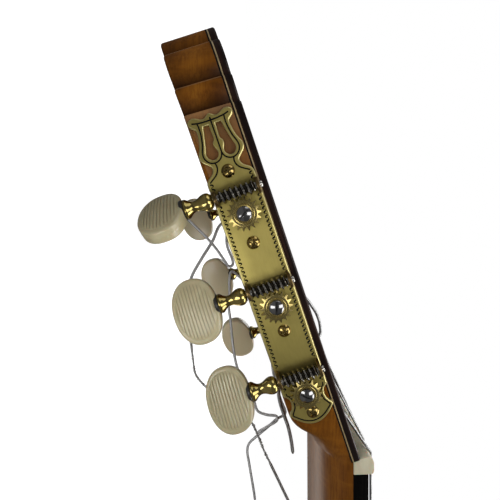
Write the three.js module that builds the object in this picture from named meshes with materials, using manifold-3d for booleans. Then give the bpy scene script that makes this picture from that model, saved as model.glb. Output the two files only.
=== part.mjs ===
// Flamenco guitar with a slotted head and open-geared tuning machines.
// Millimetres. +X is the treble side, +Y points along the neck to the head, +Z is the front (the strings' side).
// The guitar lies on its back; the back's underside is at Z = 0.
import * as THREE from 'three';
import { mergeVertices } from 'three/addons/utils/BufferGeometryUtils.js';
import Module from 'manifold-3d';

// ---------------------------------------------------------------- driving dimensions
const GAP = 0.3;                    // joint gap between touching pieces
const Y_NUT = 324.4;                // Y of the nut's rear bottom edge, where the head starts
const NUT_THICK = 4.6;              // nut along the strings
const SCALE = 650;                  // vibrating length of a string
const FRETS = 19;
const BODY_FRET = 325;              // nut front to body joint (12th fret)
const BODY_LEN = 485;
const DEPTH = 92.1;                 // back's underside to the soundboard's top
const PLATE = 2.4;                  // soundboard and back thickness
const RIB = 2.0;                    // side thickness
const HEAD_ANGLE = 17.82 * Math.PI / 180;
const FLARE = 2.18 * Math.PI / 180; // each head side leans out by this much
const HEAD_HALF = 27.54;            // half width of the head at the nut
const HEAD_BACK = -18.0;            // wood's back face, measured from the veneer line
const FACE = 2.95;                  // faceplate's front face above the veneer line
const TIP_U = 178.8;                // head tip along the head
const SLOT_IN = 9.0, SLOT_OUT = 22.5;   // a slot's walls, measured inwards from the head's side
const AXIS_V = -8.75;               // roller axes, below the veneer line
const ROLLER_U = [36.1, 71.1, 106.1];   // roller axes along the head, 35 mm apart
const WORM_OFF = 7.85;              // worm axis to gear axis
const WORM_H = 4.75;                // worm axis above the head's side
const TEETH = 18;
const LEAD = 1.9;                   // worm lead = gear pitch
const GEAR_TIP = 6.0, GEAR_ROOT = 4.93;
const WORM_TIP = 2.55, WORM_CORE = 1.6;
const PLATE_T = 1.2;                // brass plate thickness
const Z_JOINT = DEPTH + 0.15;       // neck and fingerboard joint plane (middle of the gap)
const BOARD = 6.0;                  // fingerboard thickness
const Y_FRONT = Y_NUT - NUT_THICK;  // nut's front, where the strings start to swing
const Y_BODY = Y_FRONT - BODY_FRET; // body edge at the neck
const Y_TAIL = Y_BODY - BODY_LEN;
const Y_SADDLE = Y_FRONT - SCALE - 1.5;
const HOLE_R = 42.5;
const Y_HOLE = Y_FRONT - 476.5;

// ---------------------------------------------------------------- solids
const wasm = await Module();
wasm.setup();

function solid(geometry) {
  const g = geometry.index ? geometry.toNonIndexed() : geometry.clone();
  for (const n of Object.keys(g.attributes)) if (n !== 'position') g.deleteAttribute(n);
  const m = mergeVertices(g, 1e-4);
  return new wasm.Manifold(new wasm.Mesh({
    numProp: 3, vertProperties: new Float32Array(m.attributes.position.array), triVerts: new Uint32Array(m.index.array),
  }));
}
function geometryOf(made) {
  const mesh = made.getMesh();
  const g = new THREE.BufferGeometry();
  const n = mesh.numProp, count = mesh.vertProperties.length / n, p = new Float32Array(count * 3);
  for (let i = 0; i < count; i++) for (let k = 0; k < 3; k++) p[i * 3 + k] = mesh.vertProperties[i * n + k];
  g.setAttribute('position', new THREE.BufferAttribute(p, 3));
  g.setIndex(new THREE.BufferAttribute(new Uint32Array(mesh.triVerts), 1));
  g.computeVertexNormals();
  return g;
}
const joined = (...gs) => geometryOf(gs.map(solid).reduce((a, b) => a.add(b)));
const cut = (g, ...tools) => geometryOf(tools.map(solid).reduce((a, b) => a.subtract(b), solid(g)));
const common = (a, b) => geometryOf(solid(a).intersect(solid(b)));

const shape = (pts) => new THREE.Shape(pts.map(([x, y]) => new THREE.Vector2(x, y)));
function slab(pts, depth, holes = []) {
  const s = pts instanceof THREE.Shape ? pts : shape(pts);
  for (const h of holes) s.holes.push(new THREE.Path(h.map(([x, y]) => new THREE.Vector2(x, y))));
  return new THREE.ExtrudeGeometry(s, { depth, bevelEnabled: false, steps: 1, curveSegments: 8 });
}
const box = (x0, x1, y0, y1, z0, z1) =>
  new THREE.BoxGeometry(x1 - x0, y1 - y0, z1 - z0).translate((x0 + x1) / 2, (y0 + y1) / 2, (z0 + z1) / 2);
const ring = (r, n, cx = 0, cy = 0, start = 0) =>
  Array.from({ length: n }, (_, i) => [cx + r * Math.cos(start + i * 2 * Math.PI / n), cy + r * Math.sin(start + i * 2 * Math.PI / n)]);
// A turned solid about Z: rows of [radius, z], from the axis back to the axis.
function turned(rows, sides) {
  const up = rows[rows.length - 1][1] >= rows[0][1] ? rows : rows.slice().reverse();
  return new THREE.LatheGeometry(up.map(([r, z]) => new THREE.Vector2(r, z)), sides).rotateX(Math.PI / 2);
}
// A profile in (y, z), extruded along X from x0 to x1.
const sideProfile = (pts, x0, x1) => {
  const g = slab(pts, x1 - x0);
  // shape x -> Y, shape y -> Z, depth -> X
  g.applyMatrix4(new THREE.Matrix4().makeBasis(new THREE.Vector3(0, 1, 0), new THREE.Vector3(0, 0, 1), new THREE.Vector3(1, 0, 0)));
  return g.translate(x0, 0, 0);
};

// A route through fixed points, so that a tube has a section at each of them.
class Route extends THREE.Curve {
  constructor(points) { super(); this.p = points.map((a) => new THREE.Vector3(...a)); }
  getPointAt(u) {
    const f = u * (this.p.length - 1), i = Math.min(Math.floor(f + 1e-9), this.p.length - 2);
    return this.p[i].clone().lerp(this.p[i + 1], f - i);
  }
  getPoint(t) { return this.getPointAt(t); }
  getTangentAt(u) {
    const i = Math.round(u * (this.p.length - 1)), a = this.p[Math.max(i - 1, 0)], b = this.p[i], c = this.p[Math.min(i + 1, this.p.length - 1)];
    const s = new THREE.Vector3();
    if (b !== a && b.distanceTo(a) > 0) s.add(b.clone().sub(a).normalize());
    if (c !== b && c.distanceTo(b) > 0) s.add(c.clone().sub(b).normalize());
    return s.normalize();
  }
  getTangent(t) { return this.getTangentAt(t); }
}
const tube = (points, r, sides = 8) => new THREE.ExtrudeGeometry(shape(ring(r, sides)), {
  steps: points.length - 1, extrudePath: new Route(points), bevelEnabled: false, curveSegments: 1,
});

// ---------------------------------------------------------------- materials
const mat = (color, roughness, metalness = 0) => new THREE.MeshStandardMaterial({ color, roughness, metalness });
const M = {
  neck: mat(0x6b3f16, 0.35), rosewood: mat(0x2a120d, 0.35), ebony: mat(0x0e0d0c, 0.4), bone: mat(0xd9d0b4, 0.45),
  spruce: mat(0xd9b27a, 0.35), cypress: mat(0xd8b878, 0.35), brace: mat(0xd8bf92, 0.8), brass: mat(0x9a8c42, 0.35, 1),
  steel: mat(0x6c6a66, 0.3, 1), plastic: mat(0xc9c19c, 0.3), barrel: mat(0xe6e1d2, 0.4), clear: mat(0xbfbfb8, 0.15),
  wound: mat(0x8f8b84, 0.35, 1), nylon: mat(0xb9b9b4, 0.25),
};

const guitar = new THREE.Group();
const add = (parent, name, geometry, material) => {
  const m = new THREE.Mesh(geometry, material);
  m.name = name;
  parent.add(m);
  return m;
};

// ---------------------------------------------------------------- body outline
const HALF = new THREE.CatmullRomCurve3([
  [0, 0], [52, 3.2], [104, 16], [146, 42], [172, 82], [181, 126], [176, 168], [159, 207], [136, 243], [120.5, 272],
  [115, 297], [118, 323], [127.5, 352], [136, 381], [137.8, 409], [130.5, 436], [111, 461], [82, 477.5], [44, 484.4], [0, 485],
].map(([x, y]) => new THREE.Vector3(x, y, 0)), false, 'centripetal');
function rim(inset, n = 26) {     // right half from the tail to the neck, moved inwards by inset
  const out = [];
  for (let i = 0; i <= n; i++) {
    const p = HALF.getPointAt(i / n), t = HALF.getTangentAt(i / n);
    if (i === 0) t.set(1, 0, 0);
    if (i === n) t.set(-1, 0, 0);
    out.push([Math.max(p.x - t.y * inset, 0), Y_TAIL + Math.min(p.y, BODY_LEN) + t.x * inset]);
  }
  return out;
}
// The point where a half rim, near the neck (or the tail), crosses a given x.
function rimAt(pts, x, neckEnd = true) {
  const list = neckEnd ? pts.slice().reverse() : pts;
  for (let i = 0; i + 1 < list.length; i++) {
    const [a, b] = [list[i], list[i + 1]];
    if (a[0] <= x && b[0] > x) return [x, a[1] + (b[1] - a[1]) * (x - a[0]) / (b[0] - a[0])];
  }
}
const mirrorX = (pts) => pts.map(([x, y]) => [-x, y]);
function closedRim(inset) {
  const r = rim(inset), n = r.length - 1;
  r[0][0] = 0; r[n][0] = 0;
  return [...r, ...mirrorX(r).reverse().slice(1, -1)];
}
// A strip that follows one half of the rim, cut square at x = x0 near the tail and x = x1 near the neck.
function strip(inset, thick, x0, x1) {
  const clip = (pts) => [rimAt(pts, x0, false), ...pts.filter(([x, y]) => (y < Y_TAIL + 240 ? x > x0 + 1 : x > x1 + 1)), rimAt(pts, x1)];
  return [...clip(rim(inset)), ...clip(rim(inset + thick)).reverse()];
}

// ---------------------------------------------------------------- sound box
add(guitar, 'back', slab(closedRim(0), PLATE), M.cypress);
const SIDE_Z0 = PLATE + GAP, SIDE_Z1 = DEPTH - PLATE - GAP;
for (const [name, sign] of [['side_bass', -1], ['side_treble', 1]]) {
  const pts = strip(0, RIB, 0.15, 8.3);
  add(guitar, name, slab(sign > 0 ? pts : mirrorX(pts), SIDE_Z1 - SIDE_Z0).translate(0, 0, SIDE_Z0), M.cypress);
}
add(guitar, 'soundboard', slab(closedRim(0), PLATE, [ring(HOLE_R, 24, 0, Y_HOLE)]).translate(0, 0, DEPTH - PLATE), M.spruce);

// Linings: one strip all along the inside of both sides, open at the neck foot.
function lining(z0, z1) {
  const outer = rim(RIB + GAP), inner = rim(RIB + GAP + 5);
  const keep = (pts) => [...pts.filter(([x, y]) => y < Y_TAIL + 240 || x > 34), rimAt(pts, 33)];
  const o = keep(outer), i = keep(inner);
  o[0][0] = 0; i[0][0] = 0;
  const full = [...mirrorX(o).reverse().slice(0, -1), ...o, ...i.slice().reverse(), ...mirrorX(i).slice(1)];
  return slab(full, z1 - z0).translate(0, 0, z0);
}
add(guitar, 'lining_top', lining(SIDE_Z1 - 8, SIDE_Z1), M.brace);
add(guitar, 'lining_back', lining(SIDE_Z0, SIDE_Z0 + 14), M.brace);
// The tail block's outer face follows the rim.
add(guitar, 'tail_block', common(box(-35, 35, Y_TAIL, Y_TAIL + 18, SIDE_Z0 + 14.3, SIDE_Z1 - 8.3), slab(closedRim(RIB + GAP), DEPTH)), M.brace);

// Top bracing: two harmonic bars, two short bars beside the sound hole, seven fan struts and two closing bars.
{
  const top = SIDE_Z1, pieces = [];
  const yLow = Y_HOLE - HOLE_R - 14, yHigh = Y_HOLE + HOLE_R + 13;
  pieces.push(box(-100, 100, yLow - 4, yLow + 4, top - 15, top), box(-112, 112, yHigh - 4, yHigh + 4, top - 15, top));
  for (const s of [-1, 1]) pieces.push(box(s * 58 - 7, s * 58 + 7, yLow - 5, yHigh + 5, top - 2.5, top));
  const yEnd = Y_TAIL + 34;
  for (let k = -3; k <= 3; k++) {
    const len = yLow - yEnd - Math.abs(k) * 9, a = Math.atan2(k * 15, len);
    pieces.push(new THREE.BoxGeometry(6, len / Math.cos(a) + 4, 3.5).rotateZ(a).translate(k * 19 + k * 7.5, yLow - len / 2, top - 1.75));
  }
  for (const s of [-1, 1])
    pieces.push(new THREE.BoxGeometry(118, 6, 3.5).rotateZ(s * 0.35).translate(s * 54, yEnd + 24, top - 1.75));
  add(guitar, 'top_bracing', joined(...pieces), M.brace);
}
// Back bracing: three bars over a wide centre strip.
{
  const z = SIDE_Z0, rows = [[Y_TAIL + 90, 158], [Y_TAIL + 235, 130], [Y_TAIL + 385, 124]];
  const half = [156, 128, 124];
  add(guitar, 'back_bracing', joined(
    box(-9, 9, Y_TAIL + 22, Y_BODY - 42, z, z + 2),
    ...rows.map(([y], i) => box(-half[i], half[i], y - 4, y + 4, z, z + 16))), M.brace);
}

// ---------------------------------------------------------------- neck
const U = new THREE.Group();           // head frame: x across, y along the head, z out of its face
U.position.set(0, Y_NUT, Z_JOINT);
U.rotation.x = -HEAD_ANGLE;
guitar.add(U);
U.updateMatrixWorld(true);
const headMatrix = U.matrix.clone();

// The head's outline from the front: straight flared sides and a three-step arched crest.
const crest = [[30.7, 144.1], [30.5, 145], [31.4, 148.4], [32.1, 151.8], [32.2, 153.9], [30.7, 154.3], [31.3, 158], [31.3, 161.5],
  [30.2, 165.4], [28.5, 167.8], [25.8, 168.1], [25.7, 170.6], [23.6, 174.4], [18.6, 176.8], [10, 178.3]];
const headOutline = (u0) => {
  const side = [[HEAD_HALF + u0 * Math.tan(FLARE), u0], [HEAD_HALF + 144 * Math.tan(FLARE), 144]];
  const right = [...side, ...crest];
  return [...right, [0, TIP_U], ...mirrorX(right).reverse()];
};
// Slots run parallel to the head's sides.
function slotPoints(sign, y0, y1) {
  const r = (SLOT_OUT - SLOT_IN) / 2, c = (SLOT_OUT + SLOT_IN) / 2, pts = [];
  for (let i = 0; i <= 5; i++) { const a = Math.PI * i / 5; pts.push([r * Math.cos(a), y1 - r + r * Math.sin(a)]); }
  for (let i = 0; i <= 5; i++) { const a = Math.PI + Math.PI * i / 5; pts.push([r * Math.cos(a), y0 + r + r * Math.sin(a)]); }
  const f = FLARE;
  // local x is measured from the slot's middle, then leaned with the side
  return pts.map(([x, y]) => {
    const X = HEAD_HALF - c + x, Y = y;
    return [sign * (X * Math.cos(f) + Y * Math.sin(f)), -X * Math.sin(f) + Y * Math.cos(f) + HEAD_HALF * Math.sin(f)];
  });
}
const SLOT_Y0 = 12, SLOT_Y1 = 128;

// Frames of the two tuning machines: x along the thickness, y along the side to the tip, z out of the side.
const side = {};
for (const [key, sign] of [['bass', -1], ['treble', 1]]) {
  const g = new THREE.Group();
  const out = new THREE.Vector3(sign * Math.cos(FLARE), -Math.sin(FLARE), 0);
  const along = new THREE.Vector3(sign * Math.sin(FLARE), Math.cos(FLARE), 0);
  const xdir = new THREE.Vector3().crossVectors(along, out);
  g.matrixAutoUpdate = false;
  g.matrix.makeBasis(xdir, along, out).setPosition(sign * HEAD_HALF, 0, AXIS_V);
  g.matrix.decompose(g.position, g.quaternion, g.scale);
  g.matrixAutoUpdate = true;
  U.add(g);
  side[key] = { group: g, sign, back: xdir.z > 0 ? -1 : 1 };   // back: which way along x the head's back lies
}
U.updateMatrixWorld(true);

// D-shaped neck section, unit depth and half width.
const dSection = [];
for (let i = 0; i <= 12; i++) {
  const a = Math.PI * i / 12, c = Math.cos(a), s = Math.sin(a), e = 2 / 2.5;
  dSection.push([Math.sign(c) * Math.abs(c) ** e, -(s ** e)]);
}
const neckHalf = (y) => 26.5 + (31 - 26.5) * (Y_NUT - y) / (Y_NUT - Y_BODY);
const neckDepth = (y) => 12.9 + 2.6 * Math.min(Math.max((Y_NUT - y) / (Y_NUT - Y_BODY), 0), 1);
function shaft(y0, y1, steps) {
  const g = new THREE.ExtrudeGeometry(shape(dSection.slice().reverse()), { depth: y1 - y0, steps, bevelEnabled: false });
  const p = g.attributes.position;
  for (let i = 0; i < p.count; i++) {
    const y = y0 + p.getZ(i);
    p.setXYZ(i, p.getX(i) * neckHalf(y), y, DEPTH + p.getY(i) * neckDepth(y));
  }
  return reversedIfInside(g);
}
function reversedIfInside(g) {
  const s = solid(g);
  if (s.volume() > 0) return g;
  const q = g.index ? g.toNonIndexed() : g, p = q.attributes.position;
  for (let i = 0; i < p.count; i += 3) {
    const a = [p.getX(i), p.getY(i), p.getZ(i)], b = [p.getX(i + 1), p.getY(i + 1), p.getZ(i + 1)];
    p.setXYZ(i, ...b); p.setXYZ(i + 1, ...a);
  }
  return q;
}
{
  // head block: front outline and side profile, both straight-sided, intersected
  const front = slab(headOutline(0), 40).translate(0, 0, -25);
  const profile = sideProfile([[0, -0.15], [TIP_U + 2, -0.15], [TIP_U + 2, HEAD_BACK], [26, HEAD_BACK], [23.6, -17.4], [21.4, -16.2],
    [19.6, -14.6], [18.2, -12.6], [17.2, -10], [8, -8], [0, -8]], -40, 40);
  let head = solid(front).intersect(solid(profile));
  for (const s of [-1, 1]) head = head.subtract(solid(slab(slotPoints(s, 25, SLOT_Y1), 40).translate(0, 0, -25)));
  // string ramps at the nut end of each slot
  for (const s of [-1, 1]) {
    const ramp = solid(slab(slotPoints(s, SLOT_Y0, 60), 40).translate(0, 0, -25))
      .intersect(solid(sideProfile([[10, 5], [60, 5], [60, -12], [34, -12], [SLOT_Y0, -0.5]], -40, 40)));
    head = head.subtract(ramp);
  }
  // holes for the rollers' journals
  for (const key of ['bass', 'treble']) {
    const g = side[key].group; g.updateMatrix();
    for (const u of ROLLER_U) {
      const outer = slab(ring(3.4, 12), 9.5).translate(0, u, -9.25);
      const inner = slab(ring(2.7, 10), 5.6).translate(0, u, -27.9);
      for (const h of [outer, inner]) head = head.subtract(solid(h.applyMatrix4(g.matrix)));
    }
  }
  let neck = solid(geometryOf(head).applyMatrix4(headMatrix));
  // shaft, from inside the head to the foot
  neck = neck.add(solid(shaft(Y_BODY + 0.3, Y_NUT + 20, 6))
    .subtract(solid(box(-60, 60, 0, 90, -0.15, 60).applyMatrix4(headMatrix))));
  // heel: side profile, narrowed towards the back
  const heelProfile = [[0.3, DEPTH], [92, DEPTH], [90, DEPTH - 14.5], [72, 73.5], [55, 69], [42, 62], [32, 51], [26, 37], [22.5, 20], [21, 6], [21, 0.3], [0.3, 0.3]];
  const heel = new THREE.ExtrudeGeometry(shape(heelProfile.map(([a, b]) => [a, b])), { depth: 2, steps: 4, bevelEnabled: false });
  {
    const p = heel.attributes.position;
    for (let i = 0; i < p.count; i++) {
      const a = p.getX(i), z = p.getY(i), t = p.getZ(i) - 1;       // t runs -1 .. 1 across
      const wide = 11 + (29.5 - 11) * Math.min(1, Math.max(0, (z - 4) / 76)) ** 0.8;
      // rounded towards the nut: the middle of the section reaches the profile, its sides fall back
      const back = a > 1 ? Math.max(a - (1 - Math.sqrt(1 - 0.92 * t * t)) * Math.min(a - 0.3, 22), 0.3) : a;
      p.setXYZ(i, t * wide, Y_BODY + back, z);
    }
  }
  neck = neck.add(solid(reversedIfInside(heel)));
  // foot inside the body, joined to the heel between the two sides
  neck = neck.add(solid(box(-30, 30, Y_BODY - 20, Y_BODY - 3.0, SIDE_Z0 + GAP, SIDE_Z1 - GAP)))
    .add(solid(box(-7.9, 7.9, Y_BODY - 5, Y_BODY + 3, SIDE_Z0 + GAP, SIDE_Z1 - GAP)))
    .add(solid(box(-30, 30, Y_BODY - 38, Y_BODY - 19, SIDE_Z0 + GAP, SIDE_Z0 + 12)));
  add(guitar, 'neck', geometryOf(neck), M.neck);
}
// Faceplate: rosewood and its light veneer as one laminated plate, with the same slots.
{
  const plate = slab(headOutline(0.3), FACE - 0.15).translate(0, 0, 0.15);
  add(U, 'head_faceplate', cut(plate, slab(slotPoints(-1, SLOT_Y0, SLOT_Y1), 20).translate(0, 0, -8),
    slab(slotPoints(1, SLOT_Y0, SLOT_Y1), 20).translate(0, 0, -8)), M.rosewood);
}
// Nut: its rear face is square to the head, its front face square to the fingerboard.
const vy = Math.sin(HEAD_ANGLE), vz = Math.cos(HEAD_ANGLE);
add(guitar, 'nut', sideProfile([
  [Y_FRONT + 0.3, Z_JOINT + 0.15], [Y_NUT - 0.1, Z_JOINT + 0.15], [Y_NUT - 0.1 + vy * 6.9, Z_JOINT + 0.15 + vz * 6.9],
  [Y_NUT + 0.0, Z_JOINT + 8.2], [Y_FRONT + 0.9, Z_JOINT + 8.25], [Y_FRONT + 0.3, Z_JOINT + 7.8]], -26.4, 26.4), M.bone);
// Fingerboard with its frets: a tapered slab cut round at the sound hole, with a ridge at each fret.
{
  const yEnd = Y_HOLE + HOLE_R - 4;
  const w = (y) => neckHalf(y);
  let board = solid(slab([[-w(yEnd), yEnd], [w(yEnd), yEnd], [w(Y_FRONT), Y_FRONT], [-w(Y_FRONT), Y_FRONT]], BOARD).translate(0, 0, Z_JOINT + 0.15))
    .subtract(solid(slab(ring(HOLE_R + 0.2, 24, 0, Y_HOLE), 30).translate(0, 0, DEPTH - 5)));
  for (let n = 1; n <= FRETS; n++) {
    const y = Y_FRONT - SCALE * (1 - 2 ** (-n / 12)), h = w(y) - 0.4;
    if (n === FRETS) continue;     // the last one would hang over the sound hole
    board = board.add(solid(sideProfile([[y - 1.1, -0.4], [y + 1.1, -0.4], [y + 1.1, 0.3], [y + 0.5, 0.95], [y - 0.5, 0.95], [y - 1.1, 0.3]], -h, h)
      .translate(0, 0, Z_JOINT + 0.15 + BOARD)));
  }
  add(guitar, 'fingerboard', geometryOf(board), M.ebony);
}

// ---------------------------------------------------------------- bridge, saddle, tap plate
const BR = DEPTH + GAP, SADDLE_H = 10.9;      // saddle top above the soundboard
{
  const y = Y_SADDLE;
  const wings = sideProfile([[y - 17, BR], [y + 11, BR], [y + 10, BR + 4.4], [y - 16, BR + 4.4]], -95, 95);
  const block = sideProfile([[y - 17, BR], [y + 11, BR], [y + 10, BR + 5], [y + 4.6, BR + 8.2], [y - 3.4, BR + 8.2], [y - 3.8, BR + 5.2],
    [y - 7.6, BR + 5.2], [y - 8, BR + 8.6], [y - 16, BR + 8.6], [y - 17, BR + 7.6]], -41, 41);
  add(guitar, 'bridge', geometryOf(solid(wings).add(solid(block)).subtract(solid(box(-50, 50, y - 1.6, y + 1.6, BR + 3.2, BR + 20)))), M.rosewood);
  add(guitar, 'saddle', sideProfile([[y - 1.3, BR + 3.5], [y + 1.3, BR + 3.5], [y + 1.3, BR + SADDLE_H - 0.7], [y + 0.4, BR + SADDLE_H],
    [y - 0.6, BR + SADDLE_H], [y - 1.3, BR + SADDLE_H - 0.6]], -39.5, 39.5), M.bone);
}
add(guitar, 'tap_plate', slab((() => {
  const r = HOLE_R + 9, pts = [], a0 = -1.9, a1 = 0.84;
  for (let i = 0; i <= 12; i++) { const a = a0 + (a1 - a0) * i / 12; pts.push([r * Math.cos(a), Y_HOLE + r * Math.sin(a)]); }
  pts.push([36, Y_HOLE + 46], [40, Y_HOLE + 74], [70, Y_HOLE + 80], [100, Y_HOLE + 52], [104, Y_HOLE + 0], [100, Y_HOLE - 50], [84, Y_HOLE - 108], [56, Y_HOLE - 136], [-17, Y_HOLE - 142]);
  return pts;
})(), 0.5).translate(0, 0, DEPTH + GAP), M.clear);

// ---------------------------------------------------------------- tuning machines
// Engraved brass plate: straight edges, an arc with two horns at the nut end, a lyre with two openings at the tip end.
const HALF_W = 8.5;
const platePts = (() => {
  const right = [];
  for (let i = 0; i <= 4; i++) { const a = i / 4; right.push([HALF_W * a, 22.3 + 5.2 * a * a]); }              // bottom arc to the horn
  right.push([HALF_W - 0.2, 29.2], [HALF_W - 1.9, 31.2], [HALF_W - 2.2, 33.6], [HALF_W - 0.9, 35.6], [HALF_W, 36.6]); // notch above the horn
  right.push([HALF_W, 119.6], [7.2, 120.6], [5.9, 122.2], [5.4, 124], [6.4, 125.4], [8.0, 127.2], [8.4, 129], [7.4, 131.8],
    [6.1, 134.4], [5.9, 137], [6.9, 138.4], [8.0, 139.6], [7.6, 141.1], [6.0, 141.9], [4.0, 141.2], [2.6, 140.3], [1.2, 141.3]);
  return [...right, [0, 141.7], ...right.slice(1).reverse().map(([x, y]) => [-x, y])];
})();
const lyreHole = (s) => [[1.4, 137.8], [3.2, 137.8], [3.6, 134], [4.6, 131.5], [5.2, 129.4], [4.4, 127.3], [2.8, 126.4], [1.5, 127.4], [1.9, 129.4], [1.2, 131]]
  .map(([x, y]) => [s * x, y]);
const SCREW_Y = [26.8, 60.8, 95.4, 121.9];
function machinePlate() {
  let p = solid(slab(platePts, PLATE_T, [lyreHole(1), lyreHole(-1), ...ROLLER_U.map((u) => ring(3.5, 10, 0, u))]).translate(0, 0, GAP));
  // four wood screws: domed heads and shanks, fixed in the plate
  for (const y of SCREW_Y)
    p = p.add(solid(turned([[0, 0.6], [2.4, 0.6], [2.4, GAP + PLATE_T + 0.35], [1.4, GAP + PLATE_T + 1.2], [0, GAP + PLATE_T + 1.35]], 8).translate(0, y, 0)));
  // bearings of each worm shaft: a short post with a bore at either end of the thread
  for (const u of ROLLER_U) for (const x of [-7.7, 7.7]) {
    const y = u + WORM_OFF, t = 0.7;
    p = p.add(solid(box(x - t, x + t, y - 2.5, y + 2.5, 1.0, WORM_H + 1.9)))
      .subtract(solid(slab(ring(1.65, 8), 4).rotateY(Math.PI / 2).translate(x - 2, y, WORM_H)));
  }
  return geometryOf(p);
}
// Gear: eighteen straight teeth and a raised hub ring, with a bore for the roller's end.
function gear() {
  const pts = [], pitch = 2 * Math.PI / TEETH;
  for (let k = 0; k < TEETH; k++) {
    const c = Math.PI / 2 + k * pitch;
    for (const [r, half] of [[GEAR_ROOT, 0.088], [GEAR_TIP, 0.04]]) pts.push([r, c - half * 1.0]);
    for (const [r, half] of [[GEAR_TIP, 0.04], [GEAR_ROOT, 0.088]]) pts.push([r, c + half * 1.0]);
  }
  const outline = pts.map(([r, a]) => [r * Math.cos(a), r * Math.sin(a)]);
  return joined(slab(outline, 1.8, [ring(2.25, 8)]).translate(0, 0, 3.85), slab(ring(4.1, 12), 0.7, [ring(2.25, 8)]).translate(0, 0, 5.5));
}
// Slotted cheese-head screw that holds the gear.
function gearScrew(angle) {
  const g = turned([[0, 2.6], [0.9, 2.6], [0.9, 6.5], [2.85, 6.5], [2.85, 7.2], [2.1, 7.9], [0, 8.15]], 10);
  return cut(g, new THREE.BoxGeometry(8, 0.7, 2).rotateZ(angle).translate(0, 0, 8.45));
}
// String roller: inner journal, barrel in the slot with the string's winding, outer journal through wall and plate, spigot.
function roller(wind) {
  const c = -15.75 + wind, zIn = -(SLOT_OUT) + 0.45, zOut = -SLOT_IN - 0.45;
  const g = turned([[0, -27.6], [2.3, -27.6], [2.3, zIn], [5, zIn], [5, c - 2], [5.9, c - 1.7], [5.9, c + 1.7], [5, c + 2], [5, zOut],
    [3.0, zOut], [3.0, 3.55], [1.8, 3.55], [1.8, 5.9], [0, 5.9]], 10);
  return cut(g, slab(ring(1.35, 6), 6).translate(0, 0, 2.3));
}
// Worm shaft along x: thread between two bearings, turned collar and a flat stub inside the button.
function wormShaft(phase) {
  const N = 8, turns = 7, z0 = -turns * LEAD / 2, z1 = turns * LEAD / 2;
  const offs = [[0.0, 0], [0.55, 1], [1.1, 0]];      // one thread's corners along the axis
  const fix = (v) => Math.round(v * 1e4) / 1e4;
  const rows = [];
  for (let j = 0; j <= N; j++) {
    const th = 2 * Math.PI * (j % N) / N, c = Math.cos(th), s = Math.sin(th), row = [];
    row.push([fix(WORM_CORE * c), fix(WORM_CORE * s), fix(z0)]);
    for (let k = -1; k <= turns; k++) for (const [o, hi] of offs) {
      const z = z0 + LEAD * (k + j / N + phase) + o, zc = Math.min(Math.max(z, z0), z1);
      const fade = Math.min(1, Math.max(0, (zc - z0) / 0.9), Math.max(0, (z1 - zc) / 0.9));
      const r = WORM_CORE + hi * (WORM_TIP - WORM_CORE) * fade;
      row.push([fix(r * c), fix(r * s), fix(zc)]);
    }
    row.push([fix(WORM_CORE * c), fix(WORM_CORE * s), fix(z1)]);
    rows.push(row);
  }
  // plain journals, collar and stub, on the same core: [radius, z] from the thread's ends outwards
  const tail = [[1.25, z1], [1.25, 9.3], [0, 9.3]];
  const nose = [[1.25, z0], [1.25, -8.8], [2.1, -8.8], [2.1, -9.7], [3.3, -11.2], [3.3, -12.8], [1.95, -14.5], [1.95, -16.4], [3.6, -17.3],
    [3.6, -18.3], [2.9, -18.9], [1.3, -18.9], [1.3, -24.2], [0, -24.2]];
  const pos = [], tri = (a, b, c) => pos.push(...a, ...b, ...c);
  const same = (a, b) => Math.hypot(a[0] - b[0], a[1] - b[1], a[2] - b[2]) < 1e-6;
  const quad = (a, b, c, d) => { if (!same(a, b) && !same(b, c) && !same(a, c)) tri(a, b, c); if (!same(a, c) && !same(c, d) && !same(a, d)) tri(a, c, d); };
  for (let j = 0; j < N; j++) {
    const A = rows[j], B = rows[j + 1];
    for (let i = 0; i + 1 < A.length; i++) quad(A[i], B[i], B[i + 1], A[i + 1]);
    const ta = 2 * Math.PI * j / N, tb = 2 * Math.PI * ((j + 1) % N) / N;
    const at = (r, z, t) => [fix(r * Math.cos(t)), fix(r * Math.sin(t)), fix(z)];
    const path = [[WORM_CORE, z1], ...tail];
    for (let i = 0; i + 1 < path.length; i++) quad(at(...path[i], ta), at(...path[i], tb), at(...path[i + 1], tb), at(...path[i + 1], ta));
    const down = [[WORM_CORE, z0], ...nose];
    for (let i = 0; i + 1 < down.length; i++) quad(at(...down[i + 1], ta), at(...down[i + 1], tb), at(...down[i], tb), at(...down[i], ta));
  }
  const g = new THREE.BufferGeometry();
  g.setAttribute('position', new THREE.BufferAttribute(new Float32Array(pos), 3));
  return g;
}
// Oval button: a flattened rounded disc across the shaft, with a bore for the stub.
function button() {
  const g = new THREE.SphereGeometry(1, 12, 8), p = g.attributes.position;
  for (let i = 0; i < p.count; i++) {
    const x = p.getX(i), y = p.getY(i), z = p.getZ(i);
    const sq = (v, e) => Math.sign(v) * Math.abs(v) ** e;
    p.setXYZ(i, sq(x, 0.9) * 12.2, sq(y, 0.62) * 4.5, sq(z, 0.9) * 8.7);
  }
  return cut(g.translate(0, 0, -27.9), slab(ring(1.7, 8), 8).translate(0, 0, -24.7));
}

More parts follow.
